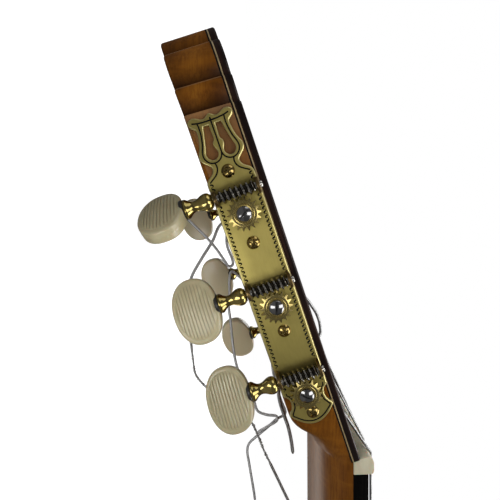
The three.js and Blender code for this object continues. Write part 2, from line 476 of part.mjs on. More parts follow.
const BUTTON_TURN = { bass: [0.0, 0.0, 0.95], treble: [0.3, 0.12, 0.0] };     // rest angle of each button about its shaft
const SCREW_TURN = { bass: [0.35, -0.1, 0.95], treble: [0.6, 1.2, 2.2] };
const STRING = { bass: [6, 5, 4], treble: [1, 2, 3] };                      // from the nut to the tip
const WIND = { 1: 0.2, 2: 0.4, 3: 0.9, 4: -0.9, 5: -0.4, 6: 0.2 };
for (const key of ['bass', 'treble']) {
  const { group, back } = side[key];
  add(group, `machine_plate_${key}`, machinePlate(), M.brass);
  ROLLER_U.forEach((u, i) => {
    const n = STRING[key][i];
    const spin = new THREE.Group(); spin.position.set(0, u, 0); group.add(spin);
    add(spin, `roller_${n}`, roller(0), M.barrel);
    add(spin, `gear_${n}`, gear(), M.brass);
    add(spin, `gear_screw_${n}`, gearScrew(SCREW_TURN[key][i]), M.steel);
    // the shaft's own -z goes to the head's back
    const turn = new THREE.Group();
    turn.position.set(0, u + WORM_OFF, WORM_H);
    const zdir = new THREE.Vector3(-back, 0, 0), xdir = new THREE.Vector3(0, 1, 0), ydir = new THREE.Vector3().crossVectors(zdir, xdir);
    turn.setRotationFromMatrix(new THREE.Matrix4().makeBasis(xdir, ydir, zdir));
    group.add(turn);
    add(turn, `worm_shaft_${n}`, wormShaft(0.2105), M.steel);
    const b = add(turn, `button_${n}`, button(), M.plastic);
    b.rotation.z = BUTTON_TURN[key][i];
  });
}

// ---------------------------------------------------------------- strings
const RADIUS = { 1: 0.36, 2: 0.41, 3: 0.51, 4: 0.38, 5: 0.45, 6: 0.55 };
guitar.updateMatrixWorld(true);
const headPoint = (x, u, v) => new THREE.Vector3(x, u, v).applyMatrix4(headMatrix).toArray();
const stringFor = {};
for (const key of ['bass', 'treble']) ROLLER_U.forEach((u, i) => { stringFor[STRING[key][i]] = { key, u, sign: side[key].sign }; });
const COIL_R = 5.9;
for (let n = 1; n <= 6; n++) {
  const { u, sign } = stringFor[n], r = RADIUS[n];
  const xs = (3.5 - n) * 11.6, xn = (3.5 - n) * 8.6;
  const xr = sign * (HEAD_HALF + u * Math.tan(FLARE) - 15.75);
  const zs = BR + SADDLE_H + GAP + r, zn = Z_JOINT + 8.25 + GAP + r;
  // over the nut, then straight down to the front of the roller's winding, ending 0.4 mm short of touching it
  const ny = 0.35, nz = zn - Z_JOINT, c = Math.cos(HEAD_ANGLE), d = Math.sin(HEAD_ANGLE);
  const nu = ny * c - nz * d, nv = ny * d + nz * c, du = u - nu, dv = AXIS_V - nv, R = COIL_R + 0.4 + r;
  const slope = Math.atan2(dv, du) + Math.asin(R / Math.hypot(du, dv)), run = Math.sqrt(du * du + dv * dv - R * R) - 1.5;
  add(guitar, `string_${n}`, tube([
    [xs, Y_SADDLE - 7.0, BR + 7.0 + r], [xs, Y_SADDLE - 3.4, zs - 1.2], [xs, Y_SADDLE - 1.0, zs], [xn, Y_FRONT + 0.6, zn],
    headPoint(xn, nu, nv), headPoint(xr, nu + run * Math.cos(slope), nv + run * Math.sin(slope)),
  ], r), n > 3 ? M.wound : M.nylon);
}

// ---------------------------------------------------------------- loose string ends
// Routes as [x, u, v] in the head's frame, from the back (or front) of each roller's winding.
const ENDS = {
  4: [[-15.6, 106.4, -15.6], [-15.6, 105.3, -19.9], [-14.5, 100.3, -24.9], [-13, 94.7, -32], [-11, 88.4, -39.2], [-9.5, 79.8, -44.7], [-9, 70.4, -47.6],
    [-9, 61.5, -49.4], [-9.5, 54, -51], [-10, 47.6, -52], [-10.5, 40.5, -49.3], [-11, 33.7, -44.5], [-11.5, 26.3, -39], [-12, 20.1, -35.6],
    [-12.5, 15.5, -34.9], [-13, 6.8, -34.4], [-13, 2.7, -34], [-13, -6.7, -33], [-13, -18.4, -31.8], [-12.5, -29, -30.5]],
  3: [[15.4, 106.3, -15.7], [15.2, 104, -19], [15, 96, -22.5], [15, 88, -22.8], [15.2, 84.5, -23.4], [15, 84.3, -24.6], [14.8, 87.5, -24.4], [13, 99.1, -29.2], [9, 118.1, -38], [8, 123.5, -40.8]],
  2: [[14.2, 71.3, -15.6], [14.2, 73.5, -18.8], [14.2, 79, -22], [13.6, 82.6, -24.6], [13.2, 79.5, -26.8], [13, 72.8, -29.1], [12, 66.5, -31.6], [12, 60.5, -32.9], [11, 44.8, -36.5], [10, 37.4, -37.4],
    [9, 28, -36.9], [8, 19.1, -34.9], [7, 13.8, -34.6], [5.5, 11.4, -31], [4, 9.7, -26.2], [3.2, 8.4, -26.6], [2.6, 7.4, -31], [2, 6.4, -37]],
  1: [[13.1, 36.3, -15.5], [13, 34, -19.5], [12.2, 24, -22], [11, 13, -22.3], [10, 6.4, -22.4], [8, 6.2, -27], [6.8, 4.2, -33], [6, 2.2, -38.9], [5, 0.4, -43.6], [5, -2.6, -45.6], [4, -9.1, -46.8], [3, -22.2, -49], [3, -27, -50]],
  6: [[-13.2, 36.2, -15.7], [-13.2, 33, -18.6], [-13.1, 27, -20.6], [-13, 17.8, -21], [-13, 14.1, -21], [-12.4, 7, -21.8], [-12, 0.8, -23]],
  5: [[-15.6, 71.6, -1.6], [-16.4, 70.2, 1], [-17, 65.1, 4], [-17, 61.8, 4.9], [-17, 59.1, 5.6], [-17, 55.5, 5.8], [-17, 52.5, 5.4], [-17, 50.2, 4.7], [-16.8, 48.6, 3.2], [-16.4, 48.2, 1], [-16, 48.8, -2], [-15.8, 50, -5]],
};
const STEP = 2.8;
for (const [n, route] of Object.entries(ENDS)) {
  const curve = new THREE.CatmullRomCurve3(route.map(([x, u, v]) => new THREE.Vector3(...headPoint(x, u, v))), false, 'centripetal');
  curve.arcLengthDivisions = 400;
  const count = Math.min(78, Math.round(curve.getLength() / STEP));
  add(guitar, `string_end_${n}`, tube(curve.getSpacedPoints(count).map((p) => p.toArray()), RADIUS[n]), n > 3 ? M.wound : M.nylon);
}

export default guitar;
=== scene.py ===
import math
import random
import bpy
import bmesh
import numpy as np
from mathutils import Matrix, Vector
from mathutils.geometry import tessellate_polygon


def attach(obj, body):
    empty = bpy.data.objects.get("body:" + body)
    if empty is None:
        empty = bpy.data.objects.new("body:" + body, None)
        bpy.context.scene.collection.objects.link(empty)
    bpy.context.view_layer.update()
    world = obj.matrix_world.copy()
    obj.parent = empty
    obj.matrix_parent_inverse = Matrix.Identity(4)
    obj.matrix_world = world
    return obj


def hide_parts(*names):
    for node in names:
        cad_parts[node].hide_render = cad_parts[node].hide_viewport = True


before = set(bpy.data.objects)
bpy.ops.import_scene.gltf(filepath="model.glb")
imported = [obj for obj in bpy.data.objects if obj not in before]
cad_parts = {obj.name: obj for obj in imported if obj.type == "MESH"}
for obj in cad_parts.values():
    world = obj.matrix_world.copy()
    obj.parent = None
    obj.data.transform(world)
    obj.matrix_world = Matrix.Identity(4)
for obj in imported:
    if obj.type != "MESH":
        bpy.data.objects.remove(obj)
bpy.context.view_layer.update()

MM = 0.001
scene = bpy.context.scene

# ------------------------------------------------------------------ dimensions, millimetres, as in the solids
Y_NUT, NUT_THICK, SCALE = 324.4, 4.6, 650.0
DEPTH, PLATE, RIB = 92.1, 2.4, 2.0
TH, PH = math.radians(17.82), math.radians(2.18)
HEAD_HALF, AXIS_V, TIP_U, FACE = 27.54, -8.75, 173.2, 2.95
HEAD_BACK = -18.5
SLOT_IN, SLOT_OUT = 9.0, 22.5
ROLLER_U = [36.1, 71.1, 106.1]
WORM_OFF, WORM_H, LEAD, TEETH = 7.85, 4.75, 1.9, 18
Z_JOINT = DEPTH + 0.15
BOARD = 6.0
Y_FRONT = Y_NUT - NUT_THICK
Y_BODY = Y_FRONT - 325.0
BODY_LEN = 485.0
Y_TAIL = Y_BODY - BODY_LEN
Y_SADDLE = Y_FRONT - SCALE - 1.5
HOLE_R = 42.5
Y_HOLE = Y_FRONT - 476.5
STRING = {"bass": [6, 5, 4], "treble": [1, 2, 3]}
RADIUS = {1: 0.36, 2: 0.41, 3: 0.51, 4: 0.38, 5: 0.45, 6: 0.55}
BR = DEPTH + 0.3
SADDLE_H = 10.9

HEAD = Matrix.Translation((0, Y_NUT * MM, Z_JOINT * MM)) @ Matrix.Rotation(-TH, 4, "X")


def head_point(x, u, v):
    return HEAD @ Vector((x * MM, u * MM, v * MM))


SIDE = {}
for key, sign in (("bass", -1), ("treble", 1)):
    out = Vector((sign * math.cos(PH), -math.sin(PH), 0))
    along = Vector((sign * math.sin(PH), math.cos(PH), 0))
    xdir = along.cross(out)
    m = Matrix((xdir, along, out)).transposed().to_4x4()
    m.translation = Vector((sign * HEAD_HALF, 0, AXIS_V)) * MM
    SIDE[key] = dict(matrix=HEAD @ m, sign=sign, back=-1 if xdir.z > 0 else 1)

# ------------------------------------------------------------------ camera, at the photograph's angle
cam_data = bpy.data.cameras.new("photo_camera")
cam_data.sensor_fit = "HORIZONTAL"
cam_data.sensor_width = 36.0
cam_data.lens = 341.35 / 500 * 36.0
cam_data.clip_start = 0.01
cam_data.clip_end = 20
camera = bpy.data.objects.new("photo_camera", cam_data)
scene.collection.objects.link(camera)
right = Vector((0.006149, -0.020483, 0.999771))
up = Vector((0.079836, 0.996609, 0.019927))
fwd = Vector((0.996789, -0.079695, -0.007763))
cm = Matrix((right, up, -fwd)).transposed().to_4x4()
cm.translation = Vector((-154.46, 95.02 + Y_NUT, Z_JOINT - 38.03)) * MM
camera.matrix_world = cm
scene.camera = camera


# ------------------------------------------------------------------ materials
class Nodes:
    """A small helper that makes one procedural material."""

    def __init__(self, name, base=(0.5, 0.5, 0.5), metallic=0.0, roughness=0.5, **sockets):
        self.m = bpy.data.materials.new(name)
        self.m.use_nodes = True
        self.t = self.m.node_tree
        self.b = self.t.nodes["Principled BSDF"]
        self.b.inputs["Base Color"].default_value = (*base, 1)
        self.b.inputs["Metallic"].default_value = metallic
        self.b.inputs["Roughness"].default_value = roughness
        for k, v in sockets.items():
            self.b.inputs[k.replace("_", " ")].default_value = v
        self.coord = self.new("ShaderNodeTexCoord").outputs["Object"]

    def new(self, kind, **props):
        n = self.t.nodes.new(kind)
        for k, v in props.items():
            setattr(n, k, v)
        return n

    def link(self, a, b):
        self.t.links.new(a, b)

    def stretch(self, scale, rotation=(0, 0, 0), source=None):
        n = self.new("ShaderNodeMapping")
        n.inputs["Scale"].default_value = scale
        n.inputs["Rotation"].default_value = rotation
        self.link(source or self.coord, n.inputs["Vector"])
        return n.outputs["Vector"]

    def noise(self, vector, scale=1.0, detail=4.0, rough=0.55, distortion=0.0):
        n = self.new("ShaderNodeTexNoise")
        n.inputs["Scale"].default_value = scale
        n.inputs["Detail"].default_value = detail
        n.inputs["Roughness"].default_value = rough
        n.inputs["Distortion"].default_value = distortion
        self.link(vector, n.inputs["Vector"])
        return n.outputs["Fac"]

    def ramp(self, fac, stops, interpolation="LINEAR"):
        n = self.new("ShaderNodeValToRGB")
        e = n.color_ramp.elements
        n.color_ramp.interpolation = interpolation
        while len(e) < len(stops):
            e.new(0.5)
        for i, (p, c) in enumerate(stops):
            e[i].position = p
            e[i].color = (*c, 1) if len(c) == 3 else c
        self.link(fac, n.inputs["Fac"])
        return n.outputs["Color"]

    def grey(self, fac, a, b, lo=0.0, hi=1.0):
        n = self.new("ShaderNodeMapRange")
        n.inputs["From Min"].default_value = lo
        n.inputs["From Max"].default_value = hi
        n.inputs["To Min"].default_value = a
        n.inputs["To Max"].default_value = b
        self.link(fac, n.inputs["Value"])
        return n.outputs["Result"]

    def mix(self, fac, a, b, mode="MIX"):
        n = self.new("ShaderNodeMix", data_type="RGBA", blend_type=mode)
        if isinstance(fac, (int, float)):
            n.inputs[0].default_value = fac
        else:
            self.link(fac, n.inputs[0])
        for sock, v in ((n.inputs[6], a), (n.inputs[7], b)):
            if isinstance(v, (tuple, list)):
                sock.default_value = (*v, 1)
            else:
                self.link(v, sock)
        return n.outputs[2]

    def math(self, op, a, b=None):
        n = self.new("ShaderNodeMath", operation=op)
        for sock, v in ((n.inputs[0], a), (n.inputs[1], b)):
            if v is None:
                continue
            if isinstance(v, (int, float)):
                sock.default_value = v
            else:
                self.link(v, sock)
        return n.outputs[0]

    def bump(self, height, strength=0.2, distance=0.0002, normal=None):
        n = self.new("ShaderNodeBump")
        n.inputs["Strength"].default_value = strength
        n.inputs["Distance"].default_value = distance
        self.link(height, n.inputs["Height"])
        if normal is not None:
            self.link(normal, n.inputs["Normal"])
        return n.outputs["Normal"]

    def color(self, c):
        self.link(c, self.b.inputs["Base Color"])

    def rough(self, r):
        self.link(r, self.b.inputs["Roughness"])

    def normal(self, n):
        self.link(n, self.b.inputs["Normal"])


def wood(name, dark, mid, light, grain_axis="Y", fine=900.0, pores=True, coat=0.9, rough=0.38, coat_rough=0.08, bump=0.12, figure=0.35, along=22.0, streak=None, spec=0.5, lines=0.75, pore_depth=0.6, follow=False, cavity=None, coat_fade=None):
    """Wood whose grain runs along one axis of the piece: broad tone, fine fibre lines, dark pores, cross figure, lacquer."""
    w = Nodes(name, mid, 0.0, rough)
    w.b.inputs["Coat Weight"].default_value = coat
    w.b.inputs["Coat Roughness"].default_value = coat_rough
    w.b.inputs["Coat IOR"].default_value = 1.5
    w.b.inputs["Specular IOR Level"].default_value = spec
    if follow:      # the grain follows a bent piece: its length is stored on the mesh as along
        at, sep, com = w.new("ShaderNodeAttribute", attribute_name="along"), w.new("ShaderNodeSeparateXYZ"), w.new("ShaderNodeCombineXYZ")
        w.link(w.coord, sep.inputs[0])
        w.link(at.outputs["Fac"], com.inputs[0])
        w.link(sep.outputs[2], com.inputs[1])
        w.coord = com.outputs[0]
        grain_axis = "X"
    ax = {"X": 0, "Y": 1, "Z": 2}[grain_axis]

    def s(across, alongv):
        v = [across] * 3
        v[ax] = alongv
        return tuple(v)
    broad = w.noise(w.stretch(s(70, 9)), 1.0, 3, 0.5, 0.6)
    fibre = w.noise(w.stretch(s(fine, along)), 1.0, 4, 0.6, 0.2)
    base = w.ramp(broad, [(0.3, dark), (0.5, mid), (0.72, light)])
    c = w.mix(w.grey(fibre, 0.0, lines, 0.42, 0.66), base, tuple(x * 0.55 for x in dark))
    if figure:
        fig = w.noise(w.stretch(s(60, 260)), 1.0, 2, 0.5, 0.8)
        c = w.mix(w.grey(fig, 0.0, figure, 0.45, 0.68), c, light)
    if streak:
        st = w.noise(w.stretch(s(330, 4)), 1.0, 2, 0.5)
        c = w.mix(w.grey(st, 0.0, 0.8, 0.5, 0.62), c, streak)
    height = fibre
    if pores:
        p = w.new("ShaderNodeTexVoronoi", feature="F1")
        p.inputs["Scale"].default_value = 1.0
        w.link(w.stretch(s(2300, 190)), p.inputs["Vector"])
        pore = w.grey(p.outputs["Distance"], 1.0, 0.0, 0.05, 0.22)
        c = w.mix(w.math("MULTIPLY", pore, pore_depth), c, tuple(x * 0.35 for x in dark))
        height = w.math("SUBTRACT", fibre, w.math("MULTIPLY", pore, 0.6))
    if coat_fade:      # the neck's finish is glossier than the head's
        sep = w.new("ShaderNodeSeparateXYZ")
        w.link(w.coord, sep.inputs[0])
        w.link(w.grey(sep.outputs["Y"], coat_fade[2], coat_fade[3], coat_fade[0], coat_fade[1]), w.b.inputs["Coat Weight"])
    if cavity:      # painted shade in the hollows, which the mesh stores, and a painted highlight where the value is negative
        at = w.new("ShaderNodeAttribute", attribute_name=cavity)
        c = w.mix(w.grey(at.outputs["Fac"], 0.0, 1.0, 0.0, 1.0), c, tuple(x * 0.28 for x in dark))
        c = w.mix(w.grey(w.math("MULTIPLY", at.outputs["Fac"], -1.0), 0.0, 1.0, 0.0, 1.0), c, (0.42, 0.27, 0.15))     # painted highlight on the ledge edges
    w.color(c)
    w.rough(w.grey(broad, rough - 0.06, rough + 0.08))
    w.normal(w.bump(height, bump, 0.00006))
    return w.m


M = {}
M["neck"] = wood("neck_wood", (0.080, 0.0245, 0.0016), (0.146, 0.0485, 0.0034), (0.226, 0.082, 0.0078), fine=1500, along=110, coat=0.26, coat_rough=0.27, rough=0.55, bump=0.05, figure=0.34, spec=0.04, lines=0.5, pore_depth=0.5, cavity="hollow", coat_fade=(0.325, 0.350, 0.26, 0.09))
M["rosewood"] = wood("rosewood", (0.008, 0.0032, 0.0024), (0.017, 0.0062, 0.0042), (0.034, 0.0125, 0.007), fine=1100, along=30, figure=0.12, coat=0.22, coat_rough=0.14, rough=0.5, streak=(0.005, 0.0024, 0.002), spec=0.06)
M["ebony"] = wood("ebony", (0.0022, 0.002, 0.0019), (0.0042, 0.0037, 0.0034), (0.010, 0.008, 0.0068), fine=1300, along=35, figure=0.1, coat=0.0, rough=0.42, coat_rough=0.3, spec=0.03)
M["cypress"] = wood("cypress", (0.47, 0.30, 0.115), (0.57, 0.39, 0.165), (0.65, 0.47, 0.225), fine=620, along=7, figure=0.06, pores=False, coat=0.6, coat_rough=0.14, streak=(0.44, 0.265, 0.09))
M["cypress_side"] = wood("cypress_side", (0.55, 0.345, 0.125), (0.66, 0.44, 0.175), (0.74, 0.525, 0.24), fine=620, along=7, figure=0.06, pores=False, coat=0.6, coat_rough=0.14, streak=(0.44, 0.265, 0.09), follow=True)
M["brace"] = wood("brace_wood", (0.52, 0.37, 0.18), (0.62, 0.46, 0.25), (0.68, 0.54, 0.31), fine=800, along=10, figure=0.1, pores=False, coat=0.0, rough=0.7)
M["brace_x"] = wood("brace_wood_across", (0.52, 0.37, 0.18), (0.62, 0.46, 0.25), (0.68, 0.54, 0.31), grain_axis="X", fine=800, along=10, figure=0.1, pores=False, coat=0.0, rough=0.7)
M["binding"] = wood("binding_rosewood", (0.02, 0.008, 0.005), (0.045, 0.017, 0.010), (0.075, 0.03, 0.017), fine=1200, along=40, figure=0.1, coat=0.9)
M["dark_veneer"] = wood("dark_veneer", (0.006, 0.005, 0.004), (0.012, 0.009, 0.007), (0.02, 0.015, 0.011), fine=1300, along=40, figure=0.0, pores=False, coat=0.8)
M["light_veneer"] = wood("light_veneer", (0.26, 0.18, 0.075), (0.36, 0.27, 0.13), (0.44, 0.34, 0.18), fine=1300, along=40, figure=0.0, pores=False, coat=0.8)


def spruce():
    """Spruce top: narrow, even annual lines along the length, with pale cross silk."""
    w = Nodes("spruce", (0.68, 0.46, 0.21), 0, 0.45, Coat_Weight=0.35, Coat_Roughness=0.2, Specular_IOR_Level=0.3)
    x = w.new("ShaderNodeSeparateXYZ")
    w.link(w.coord, x.inputs[0])
    wob = w.noise(w.stretch((9, 1.6, 9)), 1.0, 2, 0.5)
    pos = w.math("ADD", w.math("MULTIPLY", x.outputs[0], 620.0), w.math("MULTIPLY", wob, 5.0))
    fr = w.math("FRACT", pos)
    late = w.ramp(fr, [(0.0, (0, 0, 0)), (0.62, (0.12,) * 3), (0.93, (1, 1, 1)), (1.0, (0, 0, 0))])
    broad = w.noise(w.stretch((14, 2.5, 14)), 1.0, 3, 0.5)
    base = w.ramp(broad, [(0.3, (0.60, 0.385, 0.155)), (0.7, (0.69, 0.475, 0.225))])
    c = w.mix(w.math("MULTIPLY", late, 0.5), base, (0.50, 0.29, 0.10))
    silk = w.noise(w.stretch((180, 900, 180)), 1.0, 3, 0.6)
    c = w.mix(w.grey(silk, 0.0, 0.22, 0.5, 0.75), c, (0.84, 0.66, 0.40))
    w.color(c)
    w.normal(w.bump(late, 0.05, 0.00005))
    return w.m


M["spruce"] = spruce()


def brushed(name, base, lines_axis, rough=0.33, light_tone=None, bump=0.12, metallic=1.0, fine=5200.0):
    """Brushed metal: fine lines along one axis, slow tarnish, small dents in tone."""
    w = Nodes(name, base, metallic, rough)
    v = [fine] * 3
    v[{"X": 0, "Y": 1, "Z": 2}[lines_axis]] = 90.0
    lines = w.noise(w.stretch(tuple(v)), 1.0, 3, 0.6)
    cloud = w.noise(w.stretch((85, 60, 85)), 1.0, 4, 0.6, 0.4)
    c = w.ramp(cloud, [(0.3, tuple(x * 0.84 for x in base)), (0.55, base), (0.8, light_tone or tuple(min(x * 1.1, 1) for x in base))])
    c = w.mix(w.grey(lines, 0.0, 0.35, 0.45, 0.75), c, tuple(x * 0.72 for x in base))
    w.color(c)
    w.rough(w.math("ADD", w.grey(cloud, rough - 0.05, rough + 0.07), w.grey(lines, -0.03, 0.05)))
    w.normal(w.bump(lines, bump, 0.00003))
    return w.m


def polished(name, base, rough=0.12, cloud_scale=160.0, dark=0.8, metallic=1.0, hollow=None):
    """Turned and plated metal: fine turning marks and a slow change of tone."""
    w = Nodes(name, base, metallic, rough)
    cloud = w.noise(w.stretch((cloud_scale,) * 3), 1.0, 4, 0.6, 0.3)
    c = w.ramp(cloud, [(0.3, tuple(x * dark for x in base)), (0.62, base)])
    if hollow:      # darker towards the root of the thread
        at = w.new("ShaderNodeAttribute", attribute_name="along")
        c = w.mix(w.grey(at.outputs["Fac"], 0.0, 1.0, 0.35, 1.0), c, hollow)
    w.color(c)
    w.rough(w.grey(cloud, rough * 0.7, rough * 1.5))
    turn = w.noise(w.stretch((900, 900, 9000)), 1.0, 2, 0.5)
    w.normal(w.bump(turn, 0.05, 0.00002))
    return w.m


M["plate"] = brushed("plate_brass", (0.50, 0.412, 0.125), "Y", 0.45)


def paint_thread_shade(m):
    """Painted shade and shadow: the plate darkens round each thread and gear, in a band set a little towards the head's
    tip.
    """
    t = m.node_tree
    bsdf = t.nodes["Principled BSDF"]
    co = t.nodes.new("ShaderNodeTexCoord")
    sep = t.nodes.new("ShaderNodeSeparateXYZ")
    t.links.new(co.outputs["Object"], sep.inputs[0])
    nz = t.nodes.new("ShaderNodeTexNoise")
    nz.inputs["Scale"].default_value = 420
    t.links.new(co.outputs["Object"], nz.inputs["Vector"])
    total = None
    for u in (36.1, 71.1, 106.1):
        sub = t.nodes.new("ShaderNodeMath")
        sub.operation = "SUBTRACT"
        t.links.new(sep.outputs[1], sub.inputs[0])
        sub.inputs[1].default_value = (u + 8.6) * 0.001
        ab = t.nodes.new("ShaderNodeMath")
        ab.operation = "ABSOLUTE"
        t.links.new(sub.outputs[0], ab.inputs[0])
        wob = t.nodes.new("ShaderNodeMath")
        wob.operation = "MULTIPLY_ADD"
        t.links.new(nz.outputs["Fac"], wob.inputs[0])
        wob.inputs[1].default_value = 0.0022
        t.links.new(ab.outputs[0], wob.inputs[2])
        mr = t.nodes.new("ShaderNodeMapRange")
        mr.interpolation_type = "SMOOTHSTEP"
        mr.inputs["From Min"].default_value = 0.0024
        mr.inputs["From Max"].default_value = 0.0060
        mr.inputs["To Min"].default_value = 0.42
        mr.inputs["To Max"].default_value = 0.0
        t.links.new(wob.outputs[0], mr.inputs["Value"])
        if total is None:
            total = mr.outputs[0]
        else:
            mxm = t.nodes.new("ShaderNodeMath")
            mxm.operation = "MAXIMUM"
            t.links.new(total, mxm.inputs[0])
            t.links.new(mr.outputs[0], mxm.inputs[1])
            total = mxm.outputs[0]
    # the painted shade's dark colour, mixed over the plate's own
    old = bsdf.inputs["Base Color"].links[0].from_socket
    mix = t.nodes.new("ShaderNodeMix")
    mix.data_type = "RGBA"
    t.links.new(total, mix.inputs[0])
    t.links.new(old, mix.inputs[6])
    mix.inputs[7].default_value = (0.075, 0.05, 0.018, 1)
    t.links.new(mix.outputs[2], bsdf.inputs["Base Color"])


# painted shade and shadow round each thread
paint_thread_shade(M["plate"])
M["plate_edge"] = polished("plate_edge_brass", (0.60, 0.52, 0.22), 0.36)
M["brass"] = polished("turned_brass", (0.40, 0.315, 0.105), 0.10, dark=0.6)
M["gear"] = brushed("gear_brass", (0.40, 0.315, 0.115), "Z", 0.24, fine=2600)
M["screw"] = polished("screw_brass", (0.33, 0.24, 0.08), 0.13, dark=0.55)
M["steel"] = polished("bolt_steel", (0.26, 0.255, 0.255), 0.11, dark=0.6)
M["worm"] = polished("worm_steel", (0.50, 0.475, 0.43), 0.17, cloud_scale=1500.0, dark=0.14, hollow=(0.045, 0.039, 0.028))
# near black, painted shade for the bolts' slots
M["slot"] = polished("slot_painted_shade", (0.012, 0.011, 0.010), 0.55, metallic=0.0)
M["fret"] = polished("fret_wire", (0.72, 0.68, 0.60), 0.16)
M["black"] = polished("engraving_black", (0.003, 0.003, 0.003), 0.8, metallic=0.0)
M["black"].node_tree.nodes["Principled BSDF"].inputs["Specular IOR Level"].default_value = 0.1
M["bearing"] = polished("bearing_brass", (0.20, 0.135, 0.055), 0.3, dark=0.55)


def plastic(name, dark, light, rough=0.25, sss=0.15, scale=120.0, coat=0.3, grooves=None, plain=None):
    w = Nodes(name, light, 0, rough, Coat_Weight=coat, Coat_Roughness=0.12)
    w.b.inputs["Subsurface Weight"].default_value = sss
    w.b.inputs["Subsurface Scale"].default_value = 0.002
    n = w.noise(w.stretch((scale, scale * 0.35, scale)), 1.0, 4, 0.6, 0.8)
    c = w.ramp(n, [(0.32, dark), (0.66, light)])
    if grooves:     # darker between the ribs, and painted light on the plain face: a lighter, warmer tone
        at = w.new("ShaderNodeAttribute", attribute_name="along")
        c = w.mix(w.grey(at.outputs["Fac"], 0.0, 0.8, 0.0, 1.0), c, grooves)
        c = w.mix(w.grey(w.math("MULTIPLY", at.outputs["Fac"], -1.0), 0.0, 1.0, 0.0, 1.0), c, plain)
    w.color(c)
    fine = w.noise(w.stretch((2600,) * 3), 1.0, 2, 0.5)
    w.rough(w.grey(n, rough - 0.05, rough + 0.08))
    w.normal(w.bump(fine, 0.03, 0.00002))
    return w.m


M["button"] = plastic("button_ivory", (0.295, 0.257, 0.148), (0.36, 0.318, 0.192), 0.3, grooves=(0.15, 0.122, 0.062), plain=(0.50, 0.425, 0.27))
# a lighter copy of the ivory, painted light for a plain face; nothing uses it
M["button_plain"] = plastic("button_ivory_back", (0.40, 0.345, 0.21), (0.50, 0.44, 0.28), 0.4)
# near black, painted shade for the gap between each knob and its button
M["collar"] = plastic("button_collar_black", (0.006, 0.005, 0.004), (0.014, 0.012, 0.01), 0.3, 0.0)
M["bone"] = plastic("bone", (0.48, 0.44, 0.305), (0.575, 0.535, 0.395), 0.36, 0.3, 220)
M["barrel"] = plastic("roller_white", (0.72, 0.69, 0.60), (0.82, 0.80, 0.72), 0.3, 0.1)
M["mosaic_a"] = plastic("mosaic_red", (0.20, 0.03, 0.015), (0.27, 0.05, 0.025), 0.4, 0.0, 900)
M["mosaic_b"] = plastic("mosaic_green", (0.02, 0.075, 0.035), (0.035, 0.11, 0.055), 0.4, 0.0, 900)
M["mosaic_c"] = plastic("mosaic_pale", (0.52, 0.40, 0.21), (0.64, 0.52, 0.31), 0.4, 0.0, 900)
M["mosaic_d"] = plastic("mosaic_black", (0.012, 0.009, 0.008), (0.022, 0.016, 0.013), 0.4, 0.0, 900)


def clear_plastic():
    w = Nodes("tap_plate_clear", (0.9, 0.88, 0.8), 0, 0.16, Alpha=0.12, Coat_Weight=0.3, Coat_Roughness=0.06)
    n = w.noise(w.stretch((240, 30, 240), (0, 0, 0.5)), 1.0, 5, 0.7)
    w.rough(w.grey(n, 0.10, 0.28, 0.35, 0.7))
    return w.m


M["clear"] = clear_plastic()


def nylon():
    """Clear nylon seen against white: painted shade darkens it towards its edges, which leaves a bright line along the
    middle.
    """
    w = Nodes("string_nylon", (0.30, 0.30, 0.31), 0, 0.3, IOR=1.45, Coat_Weight=0.2, Coat_Roughness=0.1)
    w.b.inputs["Transmission Weight"].default_value = 0.12
    n = w.noise(w.stretch((420,) * 3), 1.0, 3, 0.6)
    edge = w.new("ShaderNodeLayerWeight")
    edge.inputs["Blend"].default_value = 0.45
    body = w.ramp(n, [(0.3, (0.44, 0.44, 0.445)), (0.7, (0.56, 0.56, 0.565))])
    # painted shade towards the string's edges
    w.color(w.mix(w.grey(edge.outputs["Facing"], 0.0, 1.0, 0.16, 0.62), body, (0.07, 0.07, 0.073)))
    w.rough(w.grey(n, 0.16, 0.32))
    return w.m


def wound():
    """Silver-plated copper wire wound tightly on the string: ribs follow the length, which each tube stores as along."""
    w = Nodes("string_wound", (0.50, 0.485, 0.46), 1.0, 0.33)
    a = w.new("ShaderNodeAttribute", attribute_name="along")
    r = w.math("SINE", w.math("MULTIPLY", a.outputs["Fac"], 2 * math.pi / 0.30))
    n = w.noise(w.stretch((300,) * 3), 1.0, 3, 0.6)
    c = w.ramp(n, [(0.3, (0.36, 0.36, 0.36)), (0.7, (0.54, 0.54, 0.54))])
    w.color(w.mix(w.grey(r, 0.65, 0.0, -1, 0.2), c, (0.10, 0.09, 0.075)))
    w.normal(w.bump(r, 0.7, 0.00005))
    return w.m


M["nylon"] = nylon()
M["wound"] = wound()
M["floss"] = plastic("string_core", (0.32, 0.31, 0.30), (0.46, 0.45, 0.44), 0.55, 0.0, 900)


# ------------------------------------------------------------------ mesh helpers (millimetres in, metres out)
def make(name, verts, faces, material, matrix=None, body="guitar", replaces=(), smooth=32, mats=None, face_mats=None, slot=None, along=None, clean=True):
    me = bpy.data.meshes.new(name)
    me.from_pydata([(x * MM, y * MM, z * MM) for x, y, z in verts], [], faces)
    if face_mats:
        for p, k in zip(me.polygons, face_mats):
            p.material_index = k
    if along is not None:
        at = me.attributes.new("along", "FLOAT", "POINT")
        at.data.foreach_set("value", np.array(along, np.float32))
    bm = bmesh.new()
    bm.from_mesh(me)
    if clean:
        bmesh.ops.remove_doubles(bm, verts=bm.verts, dist=1e-7)
        bmesh.ops.dissolve_degenerate(bm, edges=bm.edges, dist=1e-8)
    bmesh.ops.recalc_face_normals(bm, faces=bm.faces)
    bm.to_mesh(me)
    bm.free()
    for p in me.polygons:
        p.use_smooth = True
    me.set_sharp_from_angle(angle=math.radians(smooth))
    for mt in mats or [material]:
        me.materials.append(mt)
    ob = bpy.data.objects.new(name, me)
    scene.collection.objects.link(ob)
    if matrix is not None:
        ob.matrix_world = matrix
    if body:
        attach(ob, body)
    if replaces:
        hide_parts(*replaces)
    return ob


